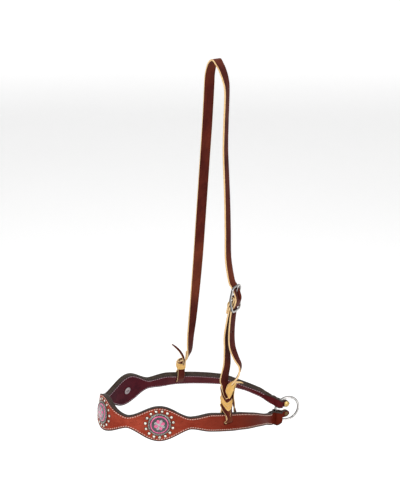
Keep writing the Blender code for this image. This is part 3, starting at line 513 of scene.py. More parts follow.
def leather(name, deep, bright, burnt, rough, grain=760.0, relief=0.00007, gloss=0.02,
            burn_share=0.5, end_shade=0.0, painted_sheen=None):
    """Grain leather: mottled dye, pebbled grain, pores and darker dye drawn into the edges, with
    painted shade that darkens it towards the band's ends and painted sheen in lighter russet
    patches.
    """
    n = material(name)
    flow = n.mark("flow", "Vector")
    edge = n.mark("edge")
    mottle = n.noise(n.mapped(flow, (1.0, 1.6, 1.6)), 38.0, 5, 0.6)
    streak = n.noise(n.mapped(flow, (14.0, 90.0, 90.0)), 6.0, 4, 0.65)
    dye = n.plus(n.times(mottle, 0.72), n.times(streak, 0.28))
    colour = n.mix(n.span(dye, 0.34, 0.66), deep, bright)
    # Painted shade: the colour turns towards a darker tone towards both ends of the band; on the
    # lining, towards a redder one.
    if end_shade:
        far_along = n.add('ShaderNodeSeparateXYZ', {"Vector": flow}).outputs["X"]
        patchy = n.plus(n.math('ABSOLUTE', far_along, 0.0), n.times(mottle, 0.05))
        colour = n.mix(n.span(patchy, 0.1, 0.3, 0.0, end_shade), colour, END_SHADE_TONE)
    # Painted highlight: lighter russet patches along the strap's length stand in for its sheen.
    if painted_sheen:
        patch = n.noise(n.mapped(flow, (1.0, 0.0, 0.0)), 6.0, 2, 0.5)
        colour = n.mix(n.span(patch, 0.52, 0.74, 0.0, 0.75), colour, painted_sheen)
    pebble = n.add('ShaderNodeTexVoronoi', {"Vector": flow, "Scale": grain},
                   feature='SMOOTH_F1').outputs["Distance"]
    pore = n.noise(flow, grain * 3.4, 2, 0.6)
    colour = n.mix(n.span(pebble, 0.45, 0.85, 0.0, 0.45), colour, burnt)
    worn = n.times(n.span(edge, 0.15, 1.0), n.span(mottle, 0.25, 0.7, 1.0, 0.55))
    colour = n.mix(n.times(worn, burn_share), colour, burnt)
    height = n.math('SUBTRACT', n.times(pore, 0.5), n.times(pebble, 1.0))
    height = n.plus(height, n.times(streak, 0.6))
    return n.finish(Base_Color=colour, Roughness=n.span(mottle, 0.3, 0.7, rough[1], rough[0]),
                    Normal=n.bump(height, relief), Specular_IOR_Level=gloss)


def cut_edge(name, deep, bright, rough):
    """An edge of leather: fibres that run along it in thin layers."""
    n = material(name)
    flow = n.mark("flow", "Vector")
    layers = n.noise(n.mapped(flow, (24.0, 420.0, 420.0)), 5.0, 4, 0.7)
    blotch = n.noise(flow, 160.0, 4, 0.6)
    share = n.plus(n.times(layers, 0.6), n.times(blotch, 0.4))
    return n.finish(Base_Color=n.mix(n.span(share, 0.34, 0.66), deep, bright),
                    Roughness=n.span(blotch, 0.3, 0.7, rough - 0.1, rough + 0.14),
                    Normal=n.bump(share, 0.00012), Specular_IOR_Level=0.05)


def metal(name, deep, bright, rough=(0.16, 0.34), metallic=1.0, smear=180.0, coat=0.0,
          edge_shade=None):
    """Metal with handling marks, fine scratches and a duller film in patches, and painted shade
    that darkens it where the edge mark is high.
    """
    n = material(name)
    place = n.place()
    film = n.noise(place, smear, 4, 0.6)
    scratch = n.noise(n.mapped(place, (1.0, 1.0, 14.0)), 900.0, 3, 0.7)
    colour = n.mix(n.span(film, 0.35, 0.65), deep, bright)
    # Painted shade: darker where the edge mark is high, a dark outline along the wires' sides and
    # on the spots' bases.
    if edge_shade:
        dull = n.plus(n.mark("edge"), n.times(film, 0.3))
        colour = n.mix(n.span(dull, 0.55, 1.1), colour, edge_shade)
    marks = n.plus(film, n.times(scratch, 0.35))
    return n.finish(Base_Color=colour, Metallic=metallic, Normal=n.bump(scratch, 0.00002),
                    Roughness=n.span(marks, 0.45, 0.85, *rough), Coat_Weight=coat,
                    Coat_Roughness=0.06)


def thread(name, deep, bright):
    """Waxed linen thread with the turns of its twist."""
    n = material(name)
    flow = n.mark("flow", "Vector")
    wave = {"Vector": n.mapped(flow, (1.0, 1.0, 0.0)), "Scale": 420.0, "Distortion": 0.6}
    twist = n.add('ShaderNodeTexWave', wave, bands_direction='DIAGONAL').outputs["Fac"]
    fluff = n.noise(flow, 2400.0, 3, 0.6)
    return n.finish(Base_Color=n.mix(n.times(twist, n.span(fluff, 0.2, 0.7)), deep, bright),
                    Roughness=n.span(fluff, 0.3, 0.7, 0.5, 0.75), Normal=n.bump(twist, 0.00012),
                    Sheen_Weight=0.25)


LOOKS = {
    # The face leather is darkened towards the band's ends by painted shade; the lining's ends are
    # turned redder.
    "face": leather("face_leather", (0.25, 0.030, 0.015), (0.44, 0.075, 0.042),
                    (0.045, 0.008, 0.006), (0.3, 0.46), burn_share=0.9, end_shade=0.95),
    "edge": cut_edge("dressed_edge", (0.018, 0.012, 0.010), (0.09, 0.066, 0.056), 0.42),
    "lining": leather("lining_leather", (0.042, 0.006, 0.014), (0.105, 0.012, 0.022),
                      (0.012, 0.003, 0.005), (0.3, 0.44), 620.0, 0.00005, end_shade=0.4),
    "flesh": cut_edge("flesh_leather", (0.05, 0.03, 0.02), (0.15, 0.09, 0.055), 0.7),
    "core": cut_edge("core_leather", (0.022, 0.015, 0.012), (0.10, 0.074, 0.06), 0.5),
    # Painted highlight: the strap's lighter russet patches are its sheen.
    "strap": leather("strap_leather", (0.055, 0.009, 0.008), (0.135, 0.024, 0.014),
                     (0.022, 0.005, 0.005), (0.34, 0.5), 820.0, 0.00006, 0.03,
                     painted_sheen=(0.27, 0.068, 0.028)),
    "tan_edge": cut_edge("tan_edge", (0.74, 0.42, 0.17), (0.95, 0.72, 0.40), 0.62),
    "tan": leather("tan_leather", (0.76, 0.39, 0.10), (0.95, 0.64, 0.22), (0.48, 0.22, 0.06),
                   (0.45, 0.6), 700.0, 0.00008, 0.05),
    "thread": thread("seam_thread", (0.72, 0.46, 0.36), (0.98, 0.80, 0.70)),
    # Painted shade: a darker, mauve copy of the seam thread, for the stitches on the lining's side.
    "shaded_lining_thread": thread("shaded_lining_thread", (0.42, 0.27, 0.32), (0.78, 0.60, 0.66)),
    # Painted shade on the nickel: a dark outline along the sides of the ring's, buckle's and
    # tongue's wires.
    "nickel": metal("polished_nickel", (0.36, 0.35, 0.34), (0.70, 0.68, 0.66),
                    edge_shade=(0.09, 0.085, 0.08)),
    "brass": metal("worn_brass", (0.32, 0.21, 0.07), (0.66, 0.47, 0.18), (0.2, 0.38),
                   edge_shade=(0.09, 0.06, 0.02)),
    "cap": metal("dark_brass", (0.06, 0.035, 0.015), (0.2, 0.13, 0.06), (0.3, 0.5)),
    # Painted shade on the spots: their seats and the feet of their domes are darker.
    "spot": metal("spot_silver", (0.46, 0.42, 0.35), (0.82, 0.78, 0.70), (0.22, 0.36),
                  edge_shade=(0.06, 0.055, 0.045)),
    "rim": metal("antique_rim", (0.045, 0.042, 0.038), (0.24, 0.23, 0.21), (0.28, 0.46),
                 smear=420.0),
    "bead": metal("antique_beads", (0.10, 0.095, 0.085), (0.50, 0.48, 0.44), (0.24, 0.4),
                  smear=520.0),
    "back": metal("screw_steel", (0.22, 0.18, 0.19), (0.38, 0.33, 0.34), (0.3, 0.45)),
    "field": metal("black_enamel", (0.010, 0.008, 0.011), (0.04, 0.034, 0.042), (0.1, 0.2), 0.0,
                   coat=0.8),
    "pink": metal("pink_enamel", (0.62, 0.05, 0.18), (0.88, 0.16, 0.36), (0.18, 0.3), 0.0, 500.0,
                  0.6),
    "pale": metal("pale_enamel", (0.26, 0.23, 0.24), (0.48, 0.44, 0.45), (0.2, 0.32), 0.2, 500.0,
                  0.6),
}


# Mesh pieces

def linked(name, data):
    item = bpy.data.objects.new(name, data)
    bpy.context.scene.collection.objects.link(item)
    return item


def write_marks(mesh, flow, edge):
    """What the materials read at each point: its place along the piece, and how near an edge is."""
    for name, kind, key, values in (
            ("flow", 'FLOAT_VECTOR', "vector", [part for point in flow for part in point]),
            ("edge", 'FLOAT', "value", edge)):
        if name in mesh.attributes:
            mesh.attributes.remove(mesh.attributes[name])
        mesh.attributes.new(name, kind, 'POINT').data.foreach_set(key, values)


class Shape:
    """Points, faces and their material slots, gathered into one mesh."""

    def __init__(self):
        self.points, self.faces, self.slots, self.flow, self.edge = [], [], [], [], []

    def add(self, points, faces, slots=0, flow=None, edge=None):
        base = len(self.points)
        points = [tuple(point) for point in points]
        self.points += points
        self.faces += [tuple(base + i for i in face) for face in faces]
        self.slots += [slots] * len(faces) if isinstance(slots, int) else list(slots)
        self.flow += points if flow is None else [tuple(value) for value in flow]
        self.edge += [0.0] * len(points) if edge is None else list(edge)
        return self

    def build(self, name, *looks):
        mesh = bpy.data.meshes.new(name)
        mesh.from_pydata(self.points, [], self.faces)
        for look in looks:
            mesh.materials.append(LOOKS[look])
        mesh.polygons.foreach_set("material_index", self.slots)
        mesh.polygons.foreach_set("use_smooth", [True] * len(self.faces))
        write_marks(mesh, self.flow, self.edge)
        cage = bmesh.new()
        cage.from_mesh(mesh)
        bmesh.ops.recalc_face_normals(cage, faces=cage.faces)
        cage.to_mesh(mesh)
        cage.free()
        return linked(name, mesh)


def placed(item, slot, *nodes, body="noseband"):
    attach(item, body)
    if nodes:
        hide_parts(*nodes)


def loft_faces(count, around, closed=False):
    faces = []
    for i in range(count if closed else count - 1):
        row, ahead = i * around, (i + 1) % count * around
        for j in range(around):
            beside = (j + 1) % around
            faces.append((row + j, row + beside, ahead + beside, ahead + j))
    if not closed:
        faces.append(tuple(range(around)))
        faces.append(tuple((count - 1) * around + j for j in range(around)))
    return faces


def lathe(profile, steps, place, wave=0, lobes=0):
    """Points and faces of a profile of (radius, height) turned round the place's Z axis."""
    points, faces, last = [], [], None
    for radius, height in profile:
        ring = list(range(len(points), len(points) + (steps if radius else 1)))
        for j in range(len(ring)):
            turn = 2 * pi * j / steps
            reach = radius + (wave * abs(sin(lobes * turn / 2)) if radius > wave * 20 else 0)
            points.append(place @ Vector((reach * cos(turn), reach * sin(turn), height)))
        for j in range(steps if last else 0):
            k = (j + 1) % steps
            if len(last) == 1:
                faces.append((last[0], ring[k], ring[j]))
            elif len(ring) == 1:
                faces.append((last[j], last[k], ring[0]))
            else:
                faces.append((last[j], last[k], ring[k], ring[j]))
        last = ring
    return points, faces


def dome(radius, low, high, steps):
    """A profile that rounds over from its edge to its top."""
    turns = [pi / 2 * k / steps for k in range(steps)]
    return [(radius * cos(turn), low + (high - low) * sin(turn)) for turn in turns] + [(0, high)]


def turned_piece(name, look, profile, steps, place):
    return Shape().add(*lathe(profile, steps, place)).build(name, look)


def domed_screw(name, reach, rise, place):
    profile = [(0, -reach), (SHAFT_RADIUS, -reach), (SHAFT_RADIUS, 0), (DOME_RADIUS - 0.0002, 0),
               (DOME_RADIUS, 0.0003)] + dome(DOME_RADIUS, 0.0006, rise, 9)
    return turned_piece(name, "brass", profile, 40, place)


def tube(path, radius, sides, closed, level):
    """Points, faces and painted-shade marks of a wire along a path, high at its sides; radius may
    change along it.
    """
    count = len(path)
    radii = [radius] * count if isinstance(radius, float) else radius
    points, marks = [], []
    for i, centre in enumerate(path):
        ahead = path[(i + 1) % count] if closed else path[min(i + 1, count - 1)]
        behind = path[i - 1] if closed or i else path[0]
        along = (ahead - behind).normalized()
        side = along.cross(level).normalized()
        over = side.cross(along)
        for j in range(sides):
            turn = 2 * pi * j / sides
            points.append(centre + side * radii[i] * cos(turn) + over * radii[i] * sin(turn))
            # Painted shade mark: 1 at the wire's two sides square to its level direction.
            marks.append(abs(cos(turn)))
    return points, loft_faces(count, sides, closed), 0, None, marks


def circle(centre, x_axis, y_axis, radius, steps):
    turns = [2 * pi * i / steps for i in range(steps)]
    return [centre + (x_axis * cos(turn) + y_axis * sin(turn)) * radius for turn in turns]


def squared(value, power):
    """A sine or cosine pushed towards a square's side; its sign stays."""
    return abs(value) ** power * (1 if value >= 0 else -1)


def cutter(name, place, radius, length, sides=24, stretch=0):
    """A rod along the place's Z axis, drawn out along its X axis by stretch."""
    cage = bmesh.new()
    bmesh.ops.create_cone(cage, cap_ends=True, segments=sides, radius1=radius, radius2=radius,
                          depth=length)
    for corner in cage.verts:
        if abs(corner.co.x) > 0.00002:
            corner.co.x += stretch / 2 * (1 if corner.co.x > 0 else -1)
    mesh = bpy.data.meshes.new(name)
    cage.to_mesh(mesh)
    cage.free()
    item = linked(name, mesh)
    item.matrix_world = place
    return item


def removed(tools):
    for tool in tools:
        bpy.data.objects.remove(tool)


def cut_away(item, tools):
    """Cuts the tools out of a piece and gives each point the marks of the nearest old point."""
    old = item.data
    flow = [tuple(value.vector) for value in old.attributes["flow"].data]
    edge = [value.value for value in old.attributes["edge"].data]
    tree = KDTree(len(old.vertices))
    for i, corner in enumerate(old.vertices):
        tree.insert(corner.co, i)
    tree.balance()
    for tool in tools:
        change = item.modifiers.new(tool.name, 'BOOLEAN')
        change.solver = 'EXACT'
        change.object = tool
    bpy.context.view_layer.update()
    graph = bpy.context.evaluated_depsgraph_get()
    mesh = bpy.data.meshes.new_from_object(item.evaluated_get(graph))
    item.modifiers.clear()
    item.data = mesh
    nearest = [tree.find(corner.co)[1] for corner in mesh.vertices]
    write_marks(mesh, [flow[i] for i in nearest], [edge[i] for i in nearest])


# Band

LOBES = {"near": -1, "front": 0, "far": 1}
PLY_STATIONS = 760
STITCH_PITCH = 0.0039
STITCH_LENGTH = 0.0030
STITCH_RADIUS = 0.0006
SEAM_END = HALF_LENGTH - 0.003
SEAM_STEP = 0.0008
STITCH_INSET = 0.0031
LINING_STITCH_INSET = 0.0026
SUNK = 0.0001               # how deep the threads and spots sit in the leather
EDGE_ZONE = 0.0075          # half height under which the edge profile shrinks
FACE, EDGE, FLESH = 0, 1, 2  # material slots of a ply
LEG_SHIFT = {-1: 0.0, 1: -0.005}     # of each side's slot and leg, along the level direction
# From the edge inwards along the seam face: inset and depth
EDGE_PROFILE = ((0.0, 0.00105), (0.00012, 0.0006), (0.0004, 0.00025), (0.0009, 0.00006),
                (0.0014, 0.0), (0.00175, 0.00014), (0.0021, 0.0), (0.0024, 0.00002),
                (0.0027, 0.0003), (0.0030, 0.00002), (0.0034, 0.0), (0.0046, 0.0))
# Arc places and millimetres by which the outline is fuller or trimmed, by side and row
END_EXTRAS = {(-1, -1): ((0.315, 0.325, 0.34, 0.35, 0.36, 0.3722, 0.3735, 0.3748),
                         (0, 1.9, 3.6, 5.4, 6.6, 7.4, 4.0, 0)),
              (-1, 1): ((0, 1), (0, 0)),
              (1, -1): ((0.30, 0.32, 0.34, 0.35, 0.358, 0.365, 0.372),
                        (0, -2.4, -3.8, -5.6, -5.4, -3.3, 0)),
              (1, 1): ((0.345, 0.35, 0.356, 0.364, 0.370, 0.376, 0.381),
                       (0, 1.6, 3.2, 3.2, 2.2, 1.2, 0))}


def edge_reach(s, row):
    """From the band's middle line to its upper (row 1) or lower (row -1) outline."""
    extra = np.interp(abs(s), *END_EXTRAS[1 if s >= 0 else -1, row])
    return half_height(s) + float(extra) / 1000


def slope_share(s):
    """How much longer an inset is when it is measured up the band, not square to its outline."""
    step = EDGE_ZONE / 10
    rise = (half_height(s + step) - half_height(s - step)) / (2 * step)
    return sqrt(1 + min(abs(rise), 1.2) ** 2)


def half_section(half, stretch, thick):
    """Height, out, mark and slot from the plain face's middle over an edge to the seam face's."""
    small = stretch * min(1, half / EDGE_ZONE)
    back, seam = -thick / 2, thick / 2
    inner = half - EDGE_PROFILE[-1][0] * small
    return ([(0.45 * half, back, 0, FLESH), (0.85 * half, back, 0, FLESH),
             (half - 0.0004 * small, back, 0.6, EDGE), (half - 0.0001, back + 0.0003, 1, EDGE),
             (half, back / 5, 1, EDGE)]
            + [(half - inset * small, seam - depth, float(np.exp(-inset / 0.0022)),
                EDGE if inset < 0.0016 else FACE) for inset, depth in EDGE_PROFILE]
            + [(inner * 0.6, seam, 0, FACE), (inner * 0.25, seam, 0, FACE)])


def ply_section(high, low, stretch, thick):
    """A section of a ply, from the middle of its plain face round over both edges."""
    lower = [(-h, *rest) for h, *rest in reversed(half_section(low, stretch, thick))]
    return ([(0, -thick / 2, 0, FLESH)] + half_section(high, stretch, thick)
            + [(0, thick / 2, 0, FACE)] + lower)


def swept_band(stations, section_at):
    """Points and places of sections of (height, out) that follow the band."""
    points, flow = [], []
    for s in stations:
        origin, _, up, outward = map(np.array, band_frame(s))
        for height, out in section_at(s):
            points.append(origin + up * height + outward * out)
            flow.append((s, height, out))
    return points, flow


def make_ply(name, facing, mid, thick, inset, look):
    """A ply of the band; facing says which way its seam face looks."""
    def section_at(s):
        section = ply_section(edge_reach(s, 1) - inset, edge_reach(s, -1) - inset, slope_share(s),
                              thick)
        return [(height, facing * (ply_offset(s, mid, thick) + out)) for height, out, *_ in section]

    points, flow = swept_band(np.linspace(-TIP_S, TIP_S, PLY_STATIONS), section_at)
    section = ply_section(1, 1, 1, thick)
    kinds = [kind for *_, kind in section]
    slots = [EDGE if EDGE in pair and FLESH not in pair else pair[0]
             for pair in zip(kinds, kinds[1:] + kinds[:1])]
    shape = Shape().add(points, loft_faces(PLY_STATIONS, len(section)),
                        slots * (PLY_STATIONS - 1) + [EDGE] * 2, flow,
                        [mark for _, _, mark, _ in section] * PLY_STATIONS)
    return shape.build(name, look, "edge", "flesh")


def make_core():
    chamfer, setback, gap = 0.0003, 0.0004, 0.0001
    half = (CORE_PLY + 2 * CLEARANCE - gap) / 2

    def section_at(s):
        high, low = (edge_reach(s, row) - setback for row in (1, -1))
        out = half * min(1, (HALF_LENGTH - abs(s)) / 0.004 + 0.2)
        return ((0, -out), (high - chamfer, -out), (high, -out / 2), (high, out / 2),
                (high - chamfer, out), (0, out), (chamfer - low, out), (-low, out / 2),
                (-low, -out / 2), (chamfer - low, -out))

    count = PLY_STATIONS // 2
    points, flow = swept_band(np.linspace(-HALF_LENGTH, HALF_LENGTH, count), section_at)
    return Shape().add(points, loft_faces(count, 10), 0, flow).build("core_ply_detail", "core")


def make_band():
    outer = make_ply("outer_ply_detail", 1, OUTER_MID, OUTER_PLY, 0, "face")
    lining = make_ply("lining_ply_detail", -1, LINING_MID, LINING_PLY, LINING_INSET, "lining")
    through = OUTER_FACE + LINING_FACE + 2 * OVERRUN
    tools = []
    for side in (-1, 1):
        origin, level, _, outward = hitch_frame(side, 0)
        place = axes(origin + level * LEG_SHIFT[side], level, outward)
        tools.append(cutter("hitch_slot", place, STRAP / 2 + CLEARANCE + SLOT_MARGIN, through,
                            stretch=LEG_WIDTH + 4 * CLEARANCE))
    bores = [("post_bore", lobe * LOBE_PITCH, POST_RADIUS) for lobe in LOBES.values()]
    bores += [("tab_bore", side * SCREW_S, SHAFT_RADIUS) for side in (-1, 1)]
    tools += [cutter(name, band_place(s, 0, 0), radius + CLEARANCE, through)
              for name, s, radius in bores]
    # The core ends before the tabs, so it gets the slots and post bores only
    for item, node, slot, used in ((outer, "outer_band", "outer_leather", 7),
                                   (lining, "band_lining", "lining_leather", 7),
                                   (make_core(), "band_core", "core_leather", 5)):
        cut_away(item, tools[:used])
        placed(item, slot, node)
    removed(tools)


def stitch(centre, along, normal):
    """One stitch: a short thread that dips into the leather at both ends."""
    side = normal.cross(along).normalized()
    half, radius = STITCH_LENGTH / 2, STITCH_RADIUS
    points, flow = [], []
    for share, size, sink in ((-1, 0.3, 0.9), (-0.8, 0.8, 0.35), (-0.35, 1, 0), (0.35, 1, 0),
                              (0.8, 0.8, 0.35), (1, 0.3, 0.9)):
        ring = centre + along * share * half + side * share * radius * 0.5 - normal * sink * radius
        for j in range(7):
            x, y = radius * cos(2 * pi * j / 7), radius * sin(2 * pi * j / 7)
            points.append(ring + side * size * x + normal * size * 0.8 * y)
            flow.append((share * half, x, y))
    return points, loft_faces(6, 7), 0, flow


def seam_path(facing, mid, thick, narrower, inset, row):
    """Rows of a point and its face normal along one seam."""
    path = []
    count = int(2 * SEAM_END / SEAM_STEP)
    for i in range(count + 1):
        s = -SEAM_END + 2 * SEAM_END * i / count
        origin, _, up, outward = band_frame(s)
        half = edge_reach(s, row) - narrower
        small = slope_share(s) * min(1, half / EDGE_ZONE)
        off = facing * (ply_offset(s, mid, thick) + thick / 2 - SUNK)
        point = origin + up * row * (half - inset * small) + outward * off
        path.append((*point, *outward * facing))
    return np.array(path)


def sew(shape, path):
    """Stitches at even steps along a path of points and normals."""
    steps = np.linalg.norm(np.diff(path[:, :3], axis=0), axis=1)
    travelled = np.concatenate([[0], np.cumsum(steps)])
    count = int(travelled[-1] / STITCH_PITCH)
    spare = (travelled[-1] - count * STITCH_PITCH) / 2

    def at(distance, first):
        return Vector([float(np.interp(distance, travelled, path[:, first + k])) for k in range(3)])

    for i in range(count):
        centre = spare + STITCH_PITCH * (i + 0.5)
        ends = [at(centre + end * STITCH_PITCH / 4, 0) for end in (-1, 1)]
        along = (ends[1] - ends[0]).normalized()
        normal = at(centre, 3)
        shape.add(*stitch(at(centre, 0), along, (normal - along * normal.dot(along)).normalized()))


def make_seams():
    for name, look, slot, ply in (
            ("outer_seam", "thread", "outer_leather",
             (1, OUTER_MID, OUTER_PLY, 0, STITCH_INSET)),
            ("lining_seam", "shaded_lining_thread", "lining_leather",
             (-1, LINING_MID, LINING_PLY, LINING_INSET, LINING_STITCH_INSET))):
        shape = Shape()
        for row in (-1, 1):
            sew(shape, seam_path(*ply, row))
        placed(shape.build(name, look), slot)


def make_spot_heads():
    steps, seat = 18, SPOT_RADIUS * 1.3
    profile = [(0, 0), (seat, 0), (seat, 0.00012), (SPOT_RADIUS, 0.00016)]
    profile += dome(SPOT_RADIUS, 0.00025, SPOT_RISE, 5)
    # Painted shade marks: full on the seat and the dome's foot, less just above, none on the top.
    marks = [0.0] + [1.0] * (steps * 4) + [0.75] * steps + [0.0] * (steps * 3 + 1)
    for name, lobe in LOBES.items():
        shape = Shape()
        for i in range(SPOTS):
            turn = 2 * pi * (i + SPOT_TURN) / SPOTS
            place = band_place(lobe * LOBE_PITCH + SPOT_CIRCLE * cos(turn),
                               SPOT_CIRCLE * sin(turn), OUTER_FACE - SUNK)
            shape.add(*lathe(profile, steps, place), 0, None, marks)
        placed(shape.build(f"spot_heads_{name}", "spot"), "concho_silver")


def field_height(reach):
    """Height of the concho's domed field at a distance from its centre."""
    over = sqrt(max(1 - (reach / FIELD_RADIUS) ** 2, 0))
    return FIELD_EDGE + (FIELD_RISE - FIELD_EDGE) * over


def petal(shape, place, slot):
    """One domed petal of the rosette, along the place's X axis."""
    rows, columns, inner, width, rise, sink = 9, 7, 0.0022, 0.0056, 0.0006, -0.0002
    top, low, faces = [], [], []
    for i in range(rows):
        share = i / (rows - 1)
        reach = inner + (ROSETTE_RADIUS - inner) * share
        half = width / 2 * sin(pi * (share * 0.93 + 0.05)) ** 0.7
        for j in range(columns):
            across = -1 + 2 * j / (columns - 1)
            lift = rise * (1 - across * across) * sin(pi * (0.1 + 0.85 * share)) ** 0.6
            for points, over in ((top, lift), (low, sink)):
                points.append(place @ Vector((reach, across * half, field_height(reach) + over)))
    count = rows * columns
    for i in range(rows - 1):
        for a in range(i * columns, (i + 1) * columns - 1):
            b = a + columns
            faces.append((a, a + 1, b + 1, b))
            faces.append((count + a, count + b, count + b + 1, count + a + 1))
    rim = [*range(columns), *range(2 * columns - 1, count, columns),
           *range(count - 2, count - columns - 1, -1), *range(count - 2 * columns, 0, -columns)]
    for a, b in zip(rim, rim[1:] + rim[:1]):
        faces.append((a, count + a, count + b, b))
    shape.add(top + low, faces, slot)


def field_profile(shares, lift=0.0):
    return [(FIELD_RADIUS * share, field_height(FIELD_RADIUS * share) + lift) for share in shares]


def make_concho(name, s):
    """Rim with beads, enamelled field with its rosette, and the screw behind the band."""
    seat = band_place(s, 0, OUTER_FACE + CLEARANCE / 3)
    r, f = CONCHO_RADIUS, FIELD_RADIUS
    profile = [(f, 0), (r - 0.0004, 0), (r, 0.0004), (r, 0.0008), (r - 0.0006, 0.0013),
               (r - 0.0014, 0.00135), (r - 0.002, 0.0016), (f + 0.0006, 0.0021), (f, 0.0019),
               (f, 0)]
    shape = Shape().add(*lathe(profile, 120, seat, CONCHO_SCALLOP, CONCHO_SCALLOPS))
    beads, bead, inset, rise = 2 * CONCHO_SCALLOPS, 0.00085, 0.00115, 0.0012
    for i in range(beads):
        turn = 2 * pi * (i + 0.5) / beads
        reach = r - inset
        place = seat @ Matrix.Translation((reach * cos(turn), reach * sin(turn), rise))
        shape.add(*lathe([(0, -0.0002)] + dome(bead, 0, bead, 3), 8, place), 1)
    placed(shape.build(f"concho_rim_detail_{name}", "rim", "bead"), "concho_silver",
           f"concho_rim_{name}")

    inner = f - 0.0001
    profile = [(0, 0.0001), (inner, 0.0001), (inner, FIELD_EDGE)]
    profile += field_profile((0.985, 0.96, 0.92, 0.86, 0.78, 0.68, 0.56, 0.42, 0.28, 0.14))
    shape = Shape().add(*lathe(profile + [(0, FIELD_RISE)], 72, seat))
    band = []
    for share, lift in ((0.97, -0.0002), (0.965, 0.00016), (0.93, 0.00024), (0.88, 0.00024),
                        (0.85, 0.00016), (0.845, -0.0002), (0.97, -0.0002)):
        band += field_profile((share,), lift)
    shape.add(*lathe(band, 72, seat), 1)
    for i in range(ROSETTE_PETALS):
        turn = Matrix.Rotation(2 * pi * (i + 0.5) / ROSETTE_PETALS, 4, 'Z')
        petal(shape, seat @ turn, 1 + i % 2)
    top, boss, boss_rise = field_height(0), 0.0026, 0.0012
    profile = [(0, top - 0.0002), (boss, top - 0.0002)] + dome(boss, top, top + boss_rise, 5)
    shape.add(*lathe(profile, 24, seat), 2)
    placed(shape.build(f"concho_face_{name}", "field", "pink", "pale"), "concho_silver",
           f"concho_field_{name}")

    back = band_place(s, 0, -LINING_FACE - CLEARANCE / 3) @ Matrix.Rotation(pi, 4, 'X')
    reach, r = LINING_FACE + OUTER_FACE, BACK_RADIUS
    profile = [(0, -reach), (POST_RADIUS, -reach), (POST_RADIUS, 0), (r - 0.0003, 0), (r, 0.0003),
               (r, 0.0009), (r - 0.0004, 0.0013), (r - 0.0014, BACK_THICK), (0, BACK_THICK)]
    screw = turned_piece(f"concho_back_{name}", "back", profile, 40, back)
    tools = [cutter("driver_slot", back @ Matrix.Translation((0, 0, BACK_THICK)), radius=0.0005,
                    length=0.0016, sides=8, stretch=0.0072)]
    cut_away(screw, tools)
    removed(tools)
    placed(screw, "steel_back", f"concho_screw_{name}")


def make_ring():
    rest = Vector((cos(RING_REST), sin(RING_REST), 0))
    path = circle(RING_AXIS + rest * (RING_RADIUS - HINGE_INSET), rest, Z, RING_RADIUS, 144)
    shape = Shape().add(*tube(path, RING_WIRE, 24, True, rest.cross(Z)))
    placed(shape.build("ring_detail", "nickel"), "ring_nickel", "chin_ring", body="ring")


def make_tab_screws():
    lining_out = ply_offset(SCREW_S, LINING_MID, LINING_PLY) + LINING_PLY / 2
    outer_out = ply_offset(SCREW_S, OUTER_MID, OUTER_PLY) + OUTER_PLY / 2
    cap = [(0, 0), (CAP_RADIUS, 0), (CAP_RADIUS, 0.0004), (CAP_RADIUS - 0.0005, 0.0009),
           (CAP_RADIUS * 0.6, CAP_RISE + 0.0003), (0.0009, CAP_RISE + 0.0004), (0.0006, 0.0005),
           (0, 0.0005)]
    for name, s in (("near", -SCREW_S), ("far", SCREW_S)):
        inward = band_place(s, 0, -lining_out - CLEARANCE / 3) @ Matrix.Rotation(pi, 4, 'X')
        placed(domed_screw(f"tab_dome_{name}", lining_out + outer_out, DOME_RISE, inward),
               "screw_brass", f"ring_screw_{name}")
        place = band_place(s, 0, outer_out + CLEARANCE / 3)
        placed(turned_piece(f"tab_cap_{name}", "cap", cap, 32, place), "screw_brass",
               f"ring_screw_cap_{name}")


# Hanger

def section_of(left, top):
    """A strap's section of (across, out, mark): its left side, its crown and the mirrored side."""
    right = tuple((-x, y, mark) for x, y, mark in reversed(left))
    return left + ((0, top, 0),) + right + ((0, -1, 0),)


STRAP_SECTION = section_of(((-0.86, -1, 0.2), (-0.965, -0.93, 0.7), (-1, -0.62, 1), (-1, 0.5, 1),
                            (-0.955, 0.9, 0.8), (-0.9, 0.985, 0.5), (-0.84, 0.93, 0.35),
                            (-0.78, 1, 0.2), (-0.4, 1, 0)), 1)
RIBBON_SECTION = section_of(((-0.8, -1, 0.3), (-1, -0.6, 1), (-1, 0.5, 1), (-0.86, 0.95, 0.6),
                             (-0.45, 1.06, 0)), 1.12)
LOOP_SECTION = section_of(((-1, -1, 1), (-1, 0.3, 1), (-0.8, 0.85, 1 / 3), (-0.4, 1.06, 0)), 1.12)

# Millimetres: level, height and out in the hitch's frame, degrees of turn, half width
FAR_LEG = ((-2.2, 41, 1.2, 12, 5.6), (2.6, 47.5, 0.4, 56, 6.2), (5.8, 54.5, 0, 46, 7.2),
           (7.0, 64, 0, 36, 7.75), (6.6, 90, 0, 24, 7.75))
# Height over the slots and degrees of turn
FAR_TURNS = ((0.122, 12), (0.176, 0), (0.230, -10), (0.284, -13), (0.338, -13), (0.392, -13),
             (0.446, -13), (0.5016, -13))
# Height over the slots, millimetres ahead and out of the leg, degrees of turn, half width
BILLET_TAIL = ((0.150, 0, 7.8, 31, 7.75), (0.124, 0, 9.0, 31, 7.75), (0.106, -2, 14, 38, 7.2),
               (0.094, -5, 20, 50, 6.5), (0.083, -5, 22, 55, 5.8), (0.074, -3, 20, 45, 4.6),
               (0.067, 1, 17.5, 30, 3.0))


def section_slots(section, limit):
    """Slot 1 between two corners of a section that both lie past the limit, at its cut edge."""
    pairs = zip(section, section[1:] + section[:1])
    return [1 if min(abs(a[0]), abs(b[0])) > limit else 0 for a, b in pairs]


